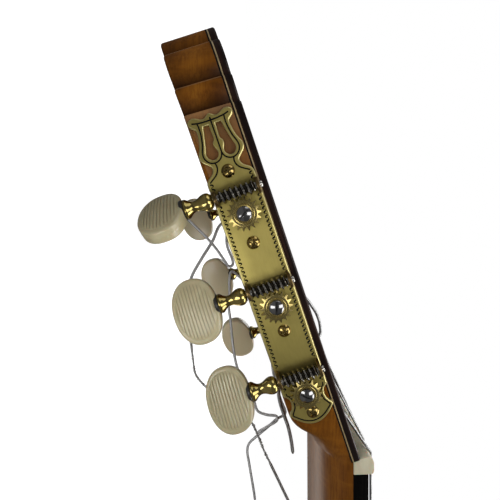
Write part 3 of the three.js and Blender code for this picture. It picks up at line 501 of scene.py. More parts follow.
def offset_poly(pts, d):
    """Moves an outline inwards (counter-clockwise), or a hole's outline into the material (clockwise)."""
    res, n = [], len(pts)
    for i in range(n):
        p0, p1, p2 = Vector(pts[i - 1]), Vector(pts[i]), Vector(pts[(i + 1) % n])
        e1, e2 = (p1 - p0).normalized(), (p2 - p1).normalized()
        n1, n2 = Vector((-e1.y, e1.x)), Vector((-e2.y, e2.x))
        mid = n1 + n2
        mid = n1 if mid.length < 1e-6 else mid.normalized()
        q = p1 + mid * (d / max(mid.dot(n1), 0.4))
        res.append((q.x, q.y))
    return res


def area2(pts):
    return sum(a[0] * b[1] - b[0] * a[1] for a, b in zip(pts, pts[1:] + pts[:1])) / 2


def prism_data(outline, holes, z0, z1, top=0.1, bottom=0.1, res=2):
    """An extruded plate with rounded edges: vertices and faces."""
    loops = [outline if area2(outline) > 0 else outline[::-1]] + [h if area2(h) < 0 else h[::-1] for h in holes]
    levels = []
    for k in range(res + 1):
        a = math.pi / 2 * k / res
        levels.append((bottom * (1 - math.sin(a)), z0 + bottom * (1 - math.cos(a))))
    for k in range(res, -1, -1):
        a = math.pi / 2 * k / res
        levels.append((top * (1 - math.sin(a)), z1 - top * (1 - math.cos(a))))
    verts, faces = [], []
    starts = []
    for lp in loops:
        n = len(lp)
        rows = []
        for d, z in levels:
            pts = offset_poly(lp, d) if d > 1e-9 else lp
            rows.append(len(verts))
            verts += [(x, y, z) for x, y in pts]
        for a, b in zip(rows, rows[1:]):
            for i in range(n):
                j = (i + 1) % n
                faces.append((a + i, a + j, b + j, b + i))
        starts.append((rows, n))
    # the caps share one triangulation, made on the full outline, so that both stay closed
    if len(loops) == 1:
        rows, n = starts[0]
        faces.append(tuple(rows[0] + i for i in range(n))[::-1])
        faces.append(tuple(rows[-1] + i for i in range(n)))
    else:
        tris = tessellate_polygon([[Vector((x, y, 0)) for x, y in lp] for lp in loops])
        flat = [(k, i) for k, lp in enumerate(loops) for i in range(len(lp))]
        for which, flip in ((0, True), (-1, False)):
            for tri in tris:
                f = tuple(starts[flat[i][0]][0][which] + flat[i][1] for i in tri)
                faces.append(f[::-1] if flip else f)
    return verts, faces


def prism(name, outline, holes, z0, z1, material, matrix=None, top=0.1, bottom=0.1, res=2, **kw):
    v, f = prism_data(outline, holes, z0, z1, top, bottom, res)
    return make(name, v, f, material, matrix, **kw)


def fillet(pts, r, seg=3, only=None):
    """Rounds an outline's corners with short arcs."""
    res, n = [], len(pts)
    for i in range(n):
        p0, p1, p2 = Vector(pts[i - 1]), Vector(pts[i]), Vector(pts[(i + 1) % n])
        a, b = p0 - p1, p2 - p1
        if a.length < 1e-9 or b.length < 1e-9:
            continue
        ang = a.angle(b)
        if ang > math.radians(165) or (only and not only(i)):
            res.append((p1.x, p1.y))
            continue
        d = min(r, a.length * 0.45, b.length * 0.45)
        s, e = p1 + a.normalized() * d, p1 + b.normalized() * d
        for k in range(seg + 1):
            t = k / seg
            q = s * (1 - t) ** 2 + p1 * 2 * t * (1 - t) + e * t * t
            res.append((q.x, q.y))
    return res


def catmull(points, per=6, closed=False):
    """Centripetal Catmull-Rom through the points."""
    P = [np.array(p, float) for p in points]
    n = len(P)
    res = []
    segs = n if closed else n - 1
    for i in range(segs):
        p1, p2 = P[i], P[(i + 1) % n]
        p0 = P[i - 1] if (closed or i > 0) else 2 * p1 - p2
        p3 = P[(i + 2) % n] if (closed or i + 2 < n) else 2 * p2 - p1
        t0 = 0.0
        t1 = t0 + max(np.linalg.norm(p1 - p0), 1e-9) ** 0.5
        t2 = t1 + max(np.linalg.norm(p2 - p1), 1e-9) ** 0.5
        t3 = t2 + max(np.linalg.norm(p3 - p2), 1e-9) ** 0.5
        for k in range(per):
            t = t1 + (t2 - t1) * k / per
            a1 = (t1 - t) / (t1 - t0) * p0 + (t - t0) / (t1 - t0) * p1
            a2 = (t2 - t) / (t2 - t1) * p1 + (t - t1) / (t2 - t1) * p2
            a3 = (t3 - t) / (t3 - t2) * p2 + (t - t2) / (t3 - t2) * p3
            b1 = (t2 - t) / (t2 - t0) * a1 + (t - t0) / (t2 - t0) * a2
            b2 = (t3 - t) / (t3 - t1) * a2 + (t - t1) / (t3 - t1) * a3
            res.append(tuple((t2 - t) / (t2 - t1) * b1 + (t - t1) / (t2 - t1) * b2))
    if not closed:
        res.append(tuple(P[-1]))
    return res


def lathe_data(rows, n=40, cx=0.0, cy=0.0):
    """A turned solid about z, from rows of (radius, z)."""
    verts, faces, rings = [], [], []
    for r, z in rows:
        if r < 1e-6:
            rings.append((len(verts), 1))
            verts.append((cx, cy, z))
        else:
            rings.append((len(verts), n))
            verts += [(cx + r * math.cos(2 * math.pi * i / n), cy + r * math.sin(2 * math.pi * i / n), z) for i in range(n)]
    for (a, na), (b, nb) in zip(rings, rings[1:]):
        for i in range(n):
            j = (i + 1) % n
            if na == 1 and nb == 1:
                continue
            if na == 1:
                faces.append((a, b + j, b + i))
            elif nb == 1:
                faces.append((a + i, a + j, b))
            else:
                faces.append((a + i, a + j, b + j, b + i))
    return verts, faces


def merge_data(*parts):
    verts, faces = [], []
    for v, f in parts:
        o = len(verts)
        verts += list(v)
        faces += [tuple(i + o for i in q) for q in f]
    return verts, faces


def tube_data(points, radius, sides=10, radii=None, closed_ends=True):
    """A tube along points (mm): vertices, faces, length along the tube for each vertex."""
    P = [Vector(p) for p in points]
    n = len(P)
    T = []
    for i in range(n):
        a = P[i] - P[i - 1] if i else P[1] - P[0]
        b = P[i + 1] - P[i] if i + 1 < n else P[-1] - P[-2]
        T.append((a.normalized() + b.normalized()).normalized())
    ref = Vector((0, 0, 1)) if abs(T[0].z) < 0.9 else Vector((1, 0, 0))
    N = (ref - T[0] * ref.dot(T[0])).normalized()
    verts, faces, along = [], [], []
    s = 0.0
    for i in range(n):
        if i:
            s += (P[i] - P[i - 1]).length
            N = (N - T[i] * N.dot(T[i])).normalized()
        B = T[i].cross(N)
        r = radii[i] if radii else radius
        for k in range(sides):
            a = 2 * math.pi * k / sides
            verts.append(tuple(P[i] + (N * math.cos(a) + B * math.sin(a)) * r))
            along.append(s)
    for i in range(n - 1):
        for k in range(sides):
            l = (k + 1) % sides
            faces.append((i * sides + k, i * sides + l, (i + 1) * sides + l, (i + 1) * sides + k))
    if closed_ends:
        faces.append(tuple(range(sides))[::-1])
        faces.append(tuple(range((n - 1) * sides, n * sides)))
    return verts, faces, along


def boolean(target, tool, op="DIFFERENCE", drop=True):
    md = target.modifiers.new("cut", "BOOLEAN")
    md.operation = op
    md.object = tool
    try:
        md.solver = "MANIFOLD"
    except TypeError:
        md.solver = "EXACT"
    dg = bpy.context.evaluated_depsgraph_get()
    me = bpy.data.meshes.new_from_object(target.evaluated_get(dg))
    target.modifiers.remove(md)
    if len(me.polygons) == 0:
        raise RuntimeError("boolean left nothing of " + target.name)
    old = target.data
    target.data = me
    bpy.data.meshes.remove(old)
    if drop:
        bpy.data.objects.remove(tool)
    return target


def raw(name, verts, faces):
    """A bare tool object for a boolean, in millimetres scaled to metres."""
    return make(name, verts, faces, M["neck"], body=None, smooth=30)


def finish_mesh(ob, smooth=30, weld=2e-6):
    me = ob.data
    bm = bmesh.new()
    bm.from_mesh(me)
    bmesh.ops.remove_doubles(bm, verts=bm.verts, dist=weld)
    bmesh.ops.dissolve_degenerate(bm, edges=bm.edges, dist=weld)
    bmesh.ops.dissolve_limit(bm, angle_limit=math.radians(0.4), verts=bm.verts, edges=bm.edges)
    bmesh.ops.triangulate(bm, faces=[f for f in bm.faces if len(f.verts) > 4])
    bm.to_mesh(me)
    bm.free()
    for p in me.polygons:
        p.use_smooth = True
    me.set_sharp_from_angle(angle=math.radians(smooth))


def mirror_x(pts):
    return [(-x, y) for x, y in pts]


def symmetric(right_half):
    """An outline from its right half, which starts and ends on x = 0."""
    return right_half + mirror_x(right_half)[::-1][1:-1]


# ------------------------------------------------------------------ loose string ends, the free cords
ENDS = {
    4: [[-15.6, 106.4, -15.6], [-15.6, 105.3, -19.9], [-14.5, 100.3, -24.9], [-13, 94.7, -32], [-11, 88.4, -39.2], [-9.5, 79.8, -44.7], [-9, 70.4, -47.6],
        [-9, 61.5, -49.4], [-9.5, 54, -51], [-10, 47.6, -52], [-10.5, 40.5, -49.3], [-11, 33.7, -44.5], [-11.5, 26.3, -39], [-12, 20.1, -35.6],
        [-12.5, 15.5, -34.9], [-13, 6.8, -34.4], [-13, 2.7, -34], [-13, -6.7, -33], [-13, -18.4, -31.8], [-12.5, -29, -30.5]],
    3: [[15.4, 106.3, -15.7], [15.2, 104, -19], [15, 96, -22.5], [15, 89, -22.4], [15, 87, -22.5], [15, 85.5, -23.1], [15, 85.0, -24.3], [14.8, 85.7, -25.5], [14.5, 87.8, -26.0], [13, 99.1, -29.2], [9, 118.1, -38], [8, 123.5, -40.8]],
    2: [[14.2, 71.3, -15.6], [14.2, 73.5, -18.8], [14.2, 79, -22], [13.6, 82.6, -24.6], [13.2, 79.5, -26.8], [13, 72.8, -29.1], [12, 66.5, -31.6], [12, 60.5, -32.9], [11, 44.8, -36.5], [10, 37.4, -37.4],
        [9, 28, -36.9], [8, 19.1, -34.9], [7, 13.8, -34.6], [5.5, 11.4, -31], [4, 9.7, -26.2], [3.2, 8.4, -26.6], [2.6, 7.4, -31], [2, 6.4, -37]],
    1: [[13.1, 36.3, -15.5], [13, 34, -19.5], [12.2, 24, -22], [11, 13, -22.3], [10, 6.4, -22.4], [8, 6.2, -27], [6.8, 4.2, -33], [6, 2.2, -38.9], [5, 0.4, -43.6], [5, -2.6, -45.6], [4, -9.1, -46.8], [3, -22.2, -49], [3, -27, -50]],
    6: [[-13.2, 36.2, -15.7], [-13.2, 33, -18.6], [-13.1, 27, -20.6], [-13, 17.8, -21], [-13, 14.1, -21], [-12.4, 7, -21.8], [-12, 0.8, -23]],
    5: [[-15.6, 71.6, -1.6], [-16.4, 70.2, 1], [-17, 65.1, 4], [-17, 61.8, 4.9], [-17, 59.1, 5.6], [-17, 55.5, 5.8], [-17, 52.5, 5.4], [-17, 50.2, 4.7], [-16.8, 48.6, 3.2], [-16.4, 48.2, 1], [-16, 48.8, -2], [-15.8, 50, -5]],
}


def resample(pts, step):
    P = [Vector(p) for p in pts]
    L = [0.0]
    for a, b in zip(P, P[1:]):
        L.append(L[-1] + (b - a).length)
    n = max(int(round(L[-1] / step)), 2)
    res, k = [], 0
    for i in range(n + 1):
        s = L[-1] * i / n
        while k + 2 < len(L) and L[k + 1] < s:
            k += 1
        t = (s - L[k]) / max(L[k + 1] - L[k], 1e-9)
        res.append(P[k].lerp(P[k + 1], t))
    return res, L[-1]


def string_end(n):
    route = catmull([tuple(head_point(*p) / MM) for p in ENDS[n]], 10)
    pts, length = resample(route, 0.6)
    # the photograph shows the loose ends stouter than the gauge of a new string
    r = {1: 0.62, 2: 0.65, 3: 0.66, 4: 0.62, 5: 0.62, 6: 0.78}[n]
    radii = [r] * len(pts)
    if n == 4:      # the winding is frayed off the core between two places, and starts again after
        rnd = random.Random(4)
        for i, p in enumerate(pts):
            s = length * i / (len(pts) - 1)
            if 62 < s < 127:
                k = min(1.0, (s - 62) / 3, (127 - s) / 1.5)
                radii[i] = r * (1 - k * (0.40 - 0.18 * rnd.random()))
    radii[-1] *= 0.55
    radii[-2] *= 0.9
    v, f, al = tube_data(pts, r, 10, radii)
    material = M["wound"] if n > 3 else M["nylon"]
    ob = make(f"loose_end_{n}", v, f, material, along=al, replaces=[f"string_end_{n}"], slot="wound_string" if n > 3 else "nylon", clean=False, smooth=60)
    if n == 4:      # stray turns of the winding wire where it has come loose
        rnd = random.Random(11)
        sv, sf = [], []
        for i, p in enumerate(pts):
            s = length * i / (len(pts) - 1)
            if 60 < s < 129 and rnd.random() < (0.75 if s > 113 else 0.34):
                t = (pts[min(i + 1, len(pts) - 1)] - pts[max(i - 1, 0)]).normalized()
                side = t.cross(Vector((rnd.uniform(-1, 1), rnd.uniform(-1, 1), rnd.uniform(-1, 1)))).normalized()
                up2 = t.cross(side)
                a0, turn, rr = rnd.uniform(0, 6.28), rnd.uniform(2.2, 5.5), r * rnd.uniform(0.66, 1.05)
                arc = []
                for k in range(8):
                    a = a0 + turn * k / 7
                    arc.append(p + t * (k - 3.5) * 0.07 + (side * math.cos(a) + up2 * math.sin(a)) * rr)
                v2, f2, _ = tube_data(arc, 0.13, 5)
                o = len(sv)
                sv += v2
                sf += [tuple(q + o for q in ff) for ff in f2]
        stray = make("loose_end_4_frayed_winding", sv, sf, M["worm"], clean=False, smooth=60)
    return length


END_LENGTH = {n: string_end(n) for n in ENDS}


# ------------------------------------------------------------------ head and neck
def head_edge(u):
    return HEAD_HALF + u * math.tan(PH)


def crest_outline():
    """Right half of the crest: each step bulges and is undercut at its foot."""
    lower = catmull([(30.5, 144.06), (29.85, 144.7), (29.95, 145.7), (30.7, 147.6), (31.6, 149.8), (32.15, 151.9), (32.2, 153.3), (31.7, 154.0)], 3)
    middle = catmull([(30.5, 154.12), (29.9, 154.7), (30.15, 156), (31.0, 158), (31.5, 160.2), (31.3, 162.6), (30.5, 165.1), (29.4, 167.0), (28.5, 167.7), (27.4, 167.95)], 3)
    upper = catmull([(25.8, 168.0), (25.2, 168.7), (25.45, 170.3), (25.2, 172.2), (23.9, 174.2), (21.3, 175.9), (17.5, 177.1), (12.5, 178.05), (6.5, 178.6), (0, TIP_U)], 3)
    return lower + middle + upper


def shear_crest(ob, inverse=None):
    """The crest's steps were cut a little out of square to the face."""
    inv = (inverse or Matrix.Identity(4))
    back = inv.inverted()
    for vtx in ob.data.vertices:
        q = inv @ vtx.co
        u, v = q.y / MM, q.z / MM
        k = 0.06 * max(0.0, min(1.0, (u - 134) / 9.5)) * (1 - 0.35 * max(0.0, min(1.0, (u - 156) / 14)))
        if k > 0:
            q.y += k * (-8 - v) * MM
            vtx.co = back @ q


def head_outline(u0, shrink=0.0):
    right_half = [(0, u0), (head_edge(u0), u0), (head_edge(60), 60), (head_edge(110), 110), (head_edge(134), 134), (head_edge(144), 144)] + crest_outline()
    o = symmetric(right_half)
    o = fillet(o, 0.35, 2)
    return offset_poly(o, shrink) if shrink else o


def slot_points(sign, y0, y1, grow=0.0, n=10):
    r = (SLOT_OUT - SLOT_IN) / 2 + grow
    c = (SLOT_OUT + SLOT_IN) / 2
    y0, y1 = y0 - grow, y1 + grow
    pts = [(r * math.cos(math.pi * i / n), y1 - r + r * math.sin(math.pi * i / n)) for i in range(n + 1)]
    pts += [(r * math.cos(math.pi + math.pi * i / n), y0 + r + r * math.sin(math.pi + math.pi * i / n)) for i in range(n + 1)]
    res = []
    for x, y in pts:
        X = HEAD_HALF - c + x
        res.append((sign * (X * math.cos(PH) + y * math.sin(PH)), -X * math.sin(PH) + y * math.cos(PH) + HEAD_HALF * math.sin(PH)))
    return res


def neck_half(y):
    return 26.7 + 4.3 * (Y_NUT - y) / (Y_NUT - Y_BODY)


# rows of: place (head u above 5, neck y below 0), half width, depth, squareness
SECTIONS = [(144, head_edge(144), 17.75, 34), (60, head_edge(60), 17.75, 34), (28, head_edge(28), 17.75, 32), (26, head_edge(26), 17.7, 28), (24, head_edge(24), 17.5, 21), (22, head_edge(22), 17.1, 14),
            (20, head_edge(20), 16.55, 9.5), (18, head_edge(18), 15.85, 6.6), (16, head_edge(16), 14.95, 4.8), (14, head_edge(14), 14.2, 3.8), (12, head_edge(12), 13.65, 3.2),
            (9, head_edge(9), 13.15, 2.75), (5, 27.62, 12.75, 2.5), (0, 27.2, 12.6, 2.45), (-60, 27.5, 12.8, 2.45), (-330, 31.0, 15.5, 2.4)]


def section_at(s):
    rows = sorted(SECTIONS)
    xs = [r[0] for r in rows]
    return [float(np.interp(s, xs, [r[k] for r in rows])) for k in (1, 2, 3)]


def neck_ring(s, N=41, inset=0.0):
    half, depth, n = section_at(s)
    lift = 0.62 * max(0.0, min(1.0, (s - 5) / 3))      # the head's wood stops lower, under its veneers
    if s >= 5:
        a, oy, oz = TH, s * math.cos(TH), -s * math.sin(TH)
    elif s <= 0:
        a, oy, oz = 0.0, s, 0.0
    else:
        a = TH * s / 5
        oy, oz = s * math.cos(a / 2), -s * math.sin(a) * 0.92
    pts = []
    for i in range(N):
        t = math.pi * i / (N - 1)
        c, sn = math.cos(t), (0.0 if i in (0, N - 1) else math.sin(t))
        x = math.copysign(abs(c) ** (2 / n), c) * half
        d = -(sn ** (2 / n)) * (depth - lift) - 0.15 - lift
        pts.append((x, Y_NUT + oy + d * math.sin(a), Z_JOINT + oz + d * math.cos(a)))
    return pts


def loft(rings):
    verts, faces = [], []
    n = len(rings[0])
    for r in rings:
        verts += r
    for a in range(len(rings) - 1):
        for i in range(n):
            j = (i + 1) % n
            faces.append((a * n + i, a * n + j, (a + 1) * n + j, (a + 1) * n + i))
    faces.append(tuple(range(n))[::-1])
    faces.append(tuple(range((len(rings) - 1) * n, len(rings) * n)))
    return verts, faces


def build_neck():
    places = [144.02, 143, 141, 138, 134, 130, 120, 110, 100, 90, 80, 70, 60, 45, 35, 30, 28, 27, 26, 25, 24, 23, 22, 21, 20, 19, 18, 17, 16, 15, 14, 13, 12, 11, 10, 9, 8, 7, 6, 5, 4, 3, 2, 1, 0]
    places += [-4, -8, -12, -20, -30, -45, -60, -90, -120, -150, -180, -210, -240, -270, -300, -329.2]
    v, f = loft([neck_ring(s) for s in places])
    neck = raw("neck_and_head", v, f)
    # crest
    o = symmetric([(0, 141.5), (29.6, 141.5)] + crest_outline())
    v, f = prism_data(fillet(o, 0.3, 2), [], -17.92, -0.785, 0.01, 0.9, 5)
    crest = raw("crest", v, f)
    crest.data.transform(HEAD)
    boolean(neck, crest, "UNION")
    shear_crest(neck, HEAD.inverted())
    # heel
    back = [(0.3, 20.2), (2, 21.2), (8, 21.5), (20, 22.7), (37, 26.2), (51, 32.5), (60, 39.5), (66, 48), (70, 57), (73.5, 71), (76, 88), (77.2, 104), (78.6, 118)]
    zs = [0.4, 0.9, 2, 5, 10, 15, 20, 26, 32, 38, 44, 49, 53, 57, 60, 63, 65.5, 68, 70, 72, 73.8, 75.2, 76.4, 77.4, 78.6]
    rings = []
    for z in zs:
        b = float(np.interp(z, [p[0] for p in back], [p[1] for p in back]))
        w = 11 + 18.2 * min(1, max(0, (z - 4) / 74)) ** 0.85
        e = 2 / 1.75
        if z < 2:
            b -= (2 - z) * 0.7
            w -= (2 - z) * 0.5
        ring = []
        N = 33
        for i in range(N):
            t = math.pi * i / (N - 1)
            c, sn = math.cos(t), math.sin(t)
            ring.append((math.copysign(abs(c) ** e, c) * w, Y_BODY + 0.35 + (sn ** 0.92) * b, z))
        rings.append(ring)
    heel = raw("heel", *loft(rings))
    boolean(neck, heel, "UNION")
    # slots, with softened edges at the back, and the string ramps
    for s in (-1, 1):
        rings = []
        for v, g in ((-22, 0.9), (-18.4, 0.9), (-17.9, 0.55), (-17.4, 0.2), (-16.9, 0.0), (1.5, 0.0)):
            rings.append([(x, y, v) for x, y in slot_points(s, 25, 128, g)])
        cut = raw("slot", *loft(rings))
        cut.data.transform(HEAD)
        boolean(neck, cut)
        ramp = slot_points(s, 12, 60)
        # the ramp's floor falls from just under the face at the nut end to the through slot
        floor = lambda y: -0.4 - max(0.0, min(1.0, (y - 12) / 16)) * 9.0
        rings = [[(x, y, floor(y)) for x, y in ramp], [(x, y, 1.5) for x, y in ramp]]
        v, f = loft(rings)
        cut = raw("ramp", v, f)
        cut.data.transform(HEAD)
        boolean(neck, cut)
    for key in ("bass", "treble"):
        for u in ROLLER_U:
            for r, z0, z1 in ((3.35, -9.3, 0.6), (2.7, -27.9, -22.2)):
                v, f = lathe_data([(0, z0), (r, z0), (r, z1), (0, z1)], 24, 0, u)
                cut = raw("bore", v, f)
                cut.data.transform(SIDE[key]["matrix"])
                boolean(neck, cut)
    finish_mesh(neck, 28, 8e-6)
    neck.data.materials.clear()
    neck.data.materials.append(M["neck"])
    neck.name = "neck_and_head"
    inv = HEAD.inverted()
    # painted shade in the crest's coves, fading up from each step's foot, and a painted highlight (a negative value)
    # along the top edge of the block below each step
    at = neck.data.attributes.new("hollow", "FLOAT", "POINT")
    for i, vtx in enumerate(neck.data.vertices):
        q = inv @ vtx.co
        x, u, v = abs(q.x) / MM, q.y / MM, q.z / MM
        if u < 120 or x < 20:
            continue
        k = 0.06 * max(0.0, min(1.0, (u - 134) / 9.5)) * (1 - 0.35 * max(0.0, min(1.0, (u - 156) / 14)))
        w = u - k * (-8 - v)
        deep = 0.0
        for foot, rise, most, light_tone in ((144.9, 5.2, 0.92, 0.3), (154.9, 5.6, 0.88, 0.3), (168.5, 7.0, 0.5, 0.85)):
            if w >= foot - 0.05:
                deep = max(deep, most * max(0.0, 1 - (w - foot) / rise) ** 0.9)
            elif foot - w < 1.0 and deep == 0.0:
                deep = -light_tone
        at.data[i].value = deep
    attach(neck, "guitar")
    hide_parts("neck")


build_neck()

# faceplate: black line, light line, rosewood
plate_outline = head_outline(0.45)
holes = [slot_points(-1, 12, 128), slot_points(1, 12, 128)]
shear_crest(prism("faceplate_black_line", plate_outline, holes, -0.76, -0.17, M["black"], HEAD, 0.01, 0.01, 1))
shear_crest(prism("faceplate_light_line", plate_outline, holes, -0.17, 0.30, M["light_veneer"], HEAD, 0.01, 0.01, 1))
shear_crest(prism("faceplate_rosewood", plate_outline, holes, 0.30, FACE + 0.02, M["rosewood"], HEAD, 0.75, 0.01, 6, replaces=["head_faceplate"], slot="rosewood"))

# nut: two faces, one square to the head and one to the fingerboard, with a softly rounded top and six string notches
vy, vz = math.sin(TH), math.cos(TH)
nut_profile = [(Y_FRONT - 0.8, Z_JOINT + 0.05), (Y_NUT + 0.3, Z_JOINT + 0.05), (Y_NUT + 0.35 + vy * 3.5, Z_JOINT + 0.1 + vz * 3.5), (Y_NUT + 0.05 + vy * 6.9, Z_JOINT + 0.1 + vz * 6.75),
               (Y_NUT + 0.9, Z_JOINT + 7.85), (Y_NUT - 0.4, Z_JOINT + 8.28), (Y_FRONT + 0.9, Z_JOINT + 8.32), (Y_FRONT - 0.1, Z_JOINT + 8.1), (Y_FRONT - 0.65, Z_JOINT + 7.4)]
rings = []
prof = fillet(nut_profile, 0.5, 3)
for x, k in ((-26.7, 0.5), (-26.5, 0.15), (-26.2, 0.0), (26.2, 0.0), (26.5, 0.15), (26.7, 0.5)):
    cx, cz = Y_FRONT + 2.6, Z_JOINT + 4.1
    rings.append([(x, cx + (y - cx) * (1 - k * 0.08), cz + (z - cz) * (1 - k * 0.05)) for y, z in prof])
nut = raw("nut_bone", *loft(rings))
for n in range(1, 7):
    r = RADIUS[n] + 0.06
    xn = (3.5 - n) * 8.6
    zc = Z_JOINT + 8.30 + RADIUS[n] * 0.35
    y0, y1, y2 = Y_FRONT - 3, Y_NUT - 0.2, Y_NUT + 6
    v, f, _ = tube_data([(xn, y0, zc + 0.2), (xn, y1, zc), (xn, y2, zc - 3.6)], r, 12)
    boolean(nut, raw("notch", v, f))
finish_mesh(nut, 35)
nut.data.materials.clear()
nut.data.materials.append(M["bone"])
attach(nut, "guitar")
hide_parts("nut")

# fingerboard and frets
y_end = Y_HOLE + HOLE_R - 4
arc = []
for i in range(25):
    a = math.radians(180 - 180 * i / 24)
    arc.append((43.2 * math.cos(a), Y_HOLE + 43.2 * math.sin(a)))
wend = neck_half(y_end)
a0 = math.acos(wend / 43.2)
arc = []
for i in range(21):
    a = math.pi - a0 - (math.pi - 2 * a0) * i / 20
    arc.append((43.2 * math.cos(a), Y_HOLE + 43.2 * math.sin(a)))
board = arc[::-1] + [(-neck_half(Y_FRONT), Y_FRONT), (neck_half(Y_FRONT), Y_FRONT)]
board = [(neck_half(Y_FRONT), Y_FRONT - 0.85), (-neck_half(Y_FRONT), Y_FRONT - 0.85)] + arc
prism("fingerboard_ebony", board, [], Z_JOINT + 0.02, Z_JOINT + 0.15 + BOARD, M["ebony"], None, 0.35, 0.05, 3, replaces=["fingerboard"], slot="ebony")
fv, ff = [], []
for n in range(1, 20):
    y = Y_FRONT - SCALE * (1 - 2 ** (-n / 12))
    h = neck_half(y) - 0.25
    z = Z_JOINT + 0.12 + BOARD
    segs = [(-h, h)]
    if abs(y - Y_HOLE) < 43.4:
        xc = math.sqrt(43.4 ** 2 - (y - Y_HOLE) ** 2)
        segs = [(-h, -xc), (xc, h)] if xc < h - 2 else []
    for x0, x1 in segs:
        rings = []
        for x, k in ((x0, 0.45), (x0 + 0.35, 0.9), (x0 + 0.9, 1.0), (x1 - 0.9, 1.0), (x1 - 0.35, 0.9), (x1, 0.45)):
            ring = [(x, y - 1.15, z - 0.35)]
            for i in range(9):
                a = math.pi - math.pi * i / 8
                ring.append((x, y + 1.15 * math.cos(a), z + 0.95 * k * math.sin(a) ** 0.8))
            ring.append((x, y + 1.15, z - 0.35))
            rings.append(ring)
        fv, ff = merge_data((fv, ff), loft(rings))
make("frets", fv, ff, M["fret"], smooth=40)


# ------------------------------------------------------------------ body
HALF_PTS = [(0, 0), (52, 3.2), (104, 16), (146, 42), (172, 82), (181, 126), (176, 168), (159, 207), (136, 243), (120.5, 272),
            (115, 297), (118, 323), (127.5, 352), (136, 381), (137.8, 409), (130.5, 436), (111, 461), (82, 477.5), (44, 484.4), (0, 485)]
CURVE = np.array(catmull(HALF_PTS, 24))
_seg = np.r_[0, np.cumsum(np.hypot(*np.diff(CURVE, axis=0).T))]


def rim(inset, n=90):
    res = []
    for i in range(n + 1):
        s = _seg[-1] * i / n
        x, y = np.interp(s, _seg, CURVE[:, 0]), np.interp(s, _seg, CURVE[:, 1])
        a, b = max(s - 1.5, 0), min(s + 1.5, _seg[-1])
        t = np.array([np.interp(b, _seg, CURVE[:, 0]) - np.interp(a, _seg, CURVE[:, 0]), np.interp(b, _seg, CURVE[:, 1]) - np.interp(a, _seg, CURVE[:, 1])])
        t /= np.linalg.norm(t)
        if i == 0:
            t = np.array([1.0, 0])
        if i == n:
            t = np.array([-1.0, 0])
        res.append((max(float(x - t[1] * inset), 0.0), float(Y_TAIL + min(y, BODY_LEN) + t[0] * inset)))
    res[0] = (0.0, res[0][1])
    res[-1] = (0.0, res[-1][1])
    return res


def closed_rim(inset, n=90):
    return symmetric(rim(inset, n))


def circle(r, n=96, cx=0.0, cy=0.0):
    return [(cx + r * math.cos(2 * math.pi * i / n), cy + r * math.sin(2 * math.pi * i / n)) for i in range(n)]


prism("soundboard_spruce", closed_rim(2.3), [circle(HOLE_R, 96, 0, Y_HOLE)], DEPTH - PLATE, DEPTH, M["spruce"], None, 0.02, 0.02, 1, replaces=["soundboard"], slot="spruce")
prism("back_cypress", closed_rim(2.3), [], 0.0, PLATE, M["cypress"], None, 0.02, 0.02, 1, replaces=["back"], slot="cypress")
for nm, z0, z1, tp, bt in (("binding_top", DEPTH - 6.0, DEPTH, 0.6, 0.02), ("binding_back", 0.0, 6.0, 0.02, 0.6)):
    prism(nm, closed_rim(0.0), [closed_rim(2.3)], z0, z1, M["binding"], None, tp, bt, 3)
# thin purfling lines let into the top and the sides
for k, (a, b, mt) in enumerate(((2.3, 2.9, "light_veneer"), (2.9, 3.4, "dark_veneer"), (3.4, 4.0, "light_veneer"), (4.0, 4.4, "dark_veneer"))):
    prism(f"top_purfling_{k}", closed_rim(a), [closed_rim(b)], DEPTH - 0.3, DEPTH + 0.03, M[mt], None, 0.005, 0.005, 1)
for k, (z, mt) in enumerate(((DEPTH - 6.7, "light_veneer"), (6.0, "light_veneer"))):
    prism(f"side_purfling_{k}", closed_rim(-0.02), [closed_rim(1.2)], z, z + 0.7, M[mt], None, 0.005, 0.005, 1)
for key, sgn in (("bass", -1), ("treble", 1)):
    outer, inner = rim(0.03), rim(RIB)
    o = outer + inner[::-1]
    o = [(x * sgn, y) for x, y in o]
    ob = prism(f"side_{key}_cypress", o, [], 6.7, DEPTH - 6.7, M["cypress_side"], None, 0.01, 0.01, 1, replaces=[f"side_{key}"], slot="cypress")
    at = ob.data.attributes.new("along", "FLOAT", "POINT")
    line = CURVE + np.array([0.0, Y_TAIL])
    for i, vtx in enumerate(ob.data.vertices):
        d2 = (line[:, 0] - abs(vtx.co.x) / MM) ** 2 + (line[:, 1] - vtx.co.y / MM) ** 2
        at.data[i].value = float(_seg[int(np.argmin(d2))]) * MM * (1 if sgn > 0 else 1.0) + 0.013 * sgn
# a tapered strip covers the joint of the sides at the tail
v, f = merge_data(loft([[(-3.2, Y_TAIL - 0.06, 6.8), (3.2, Y_TAIL - 0.06, 6.8), (3.2, Y_TAIL + 1, 6.8), (-3.2, Y_TAIL + 1, 6.8)],
                        [(-4.6, Y_TAIL - 0.06, DEPTH - 6.8), (4.6, Y_TAIL - 0.06, DEPTH - 6.8), (4.6, Y_TAIL + 1, DEPTH - 6.8), (-4.6, Y_TAIL + 1, DEPTH - 6.8)]]))
make("tail_strip", v, f, M["binding"])
# centre seam strip of the two-piece back
prism("back_centre_strip", [(-2.6, Y_TAIL + 2.4), (2.6, Y_TAIL + 2.4), (2.6, Y_BODY - 2.4), (-2.6, Y_BODY - 2.4)], [], -0.02, 0.4, M["binding"], None, 0.01, 0.01, 1)


# rosette: plain rings and a band of small tiles in a traditional stepped pattern
def ring_band(name, r0, r1, mt, z=0.03):
    prism(name, circle(r1, 120, 0, Y_HOLE), [circle(r0, 120, 0, Y_HOLE)], DEPTH - 0.3, DEPTH + z, M[mt], None, 0.005, 0.005, 1)


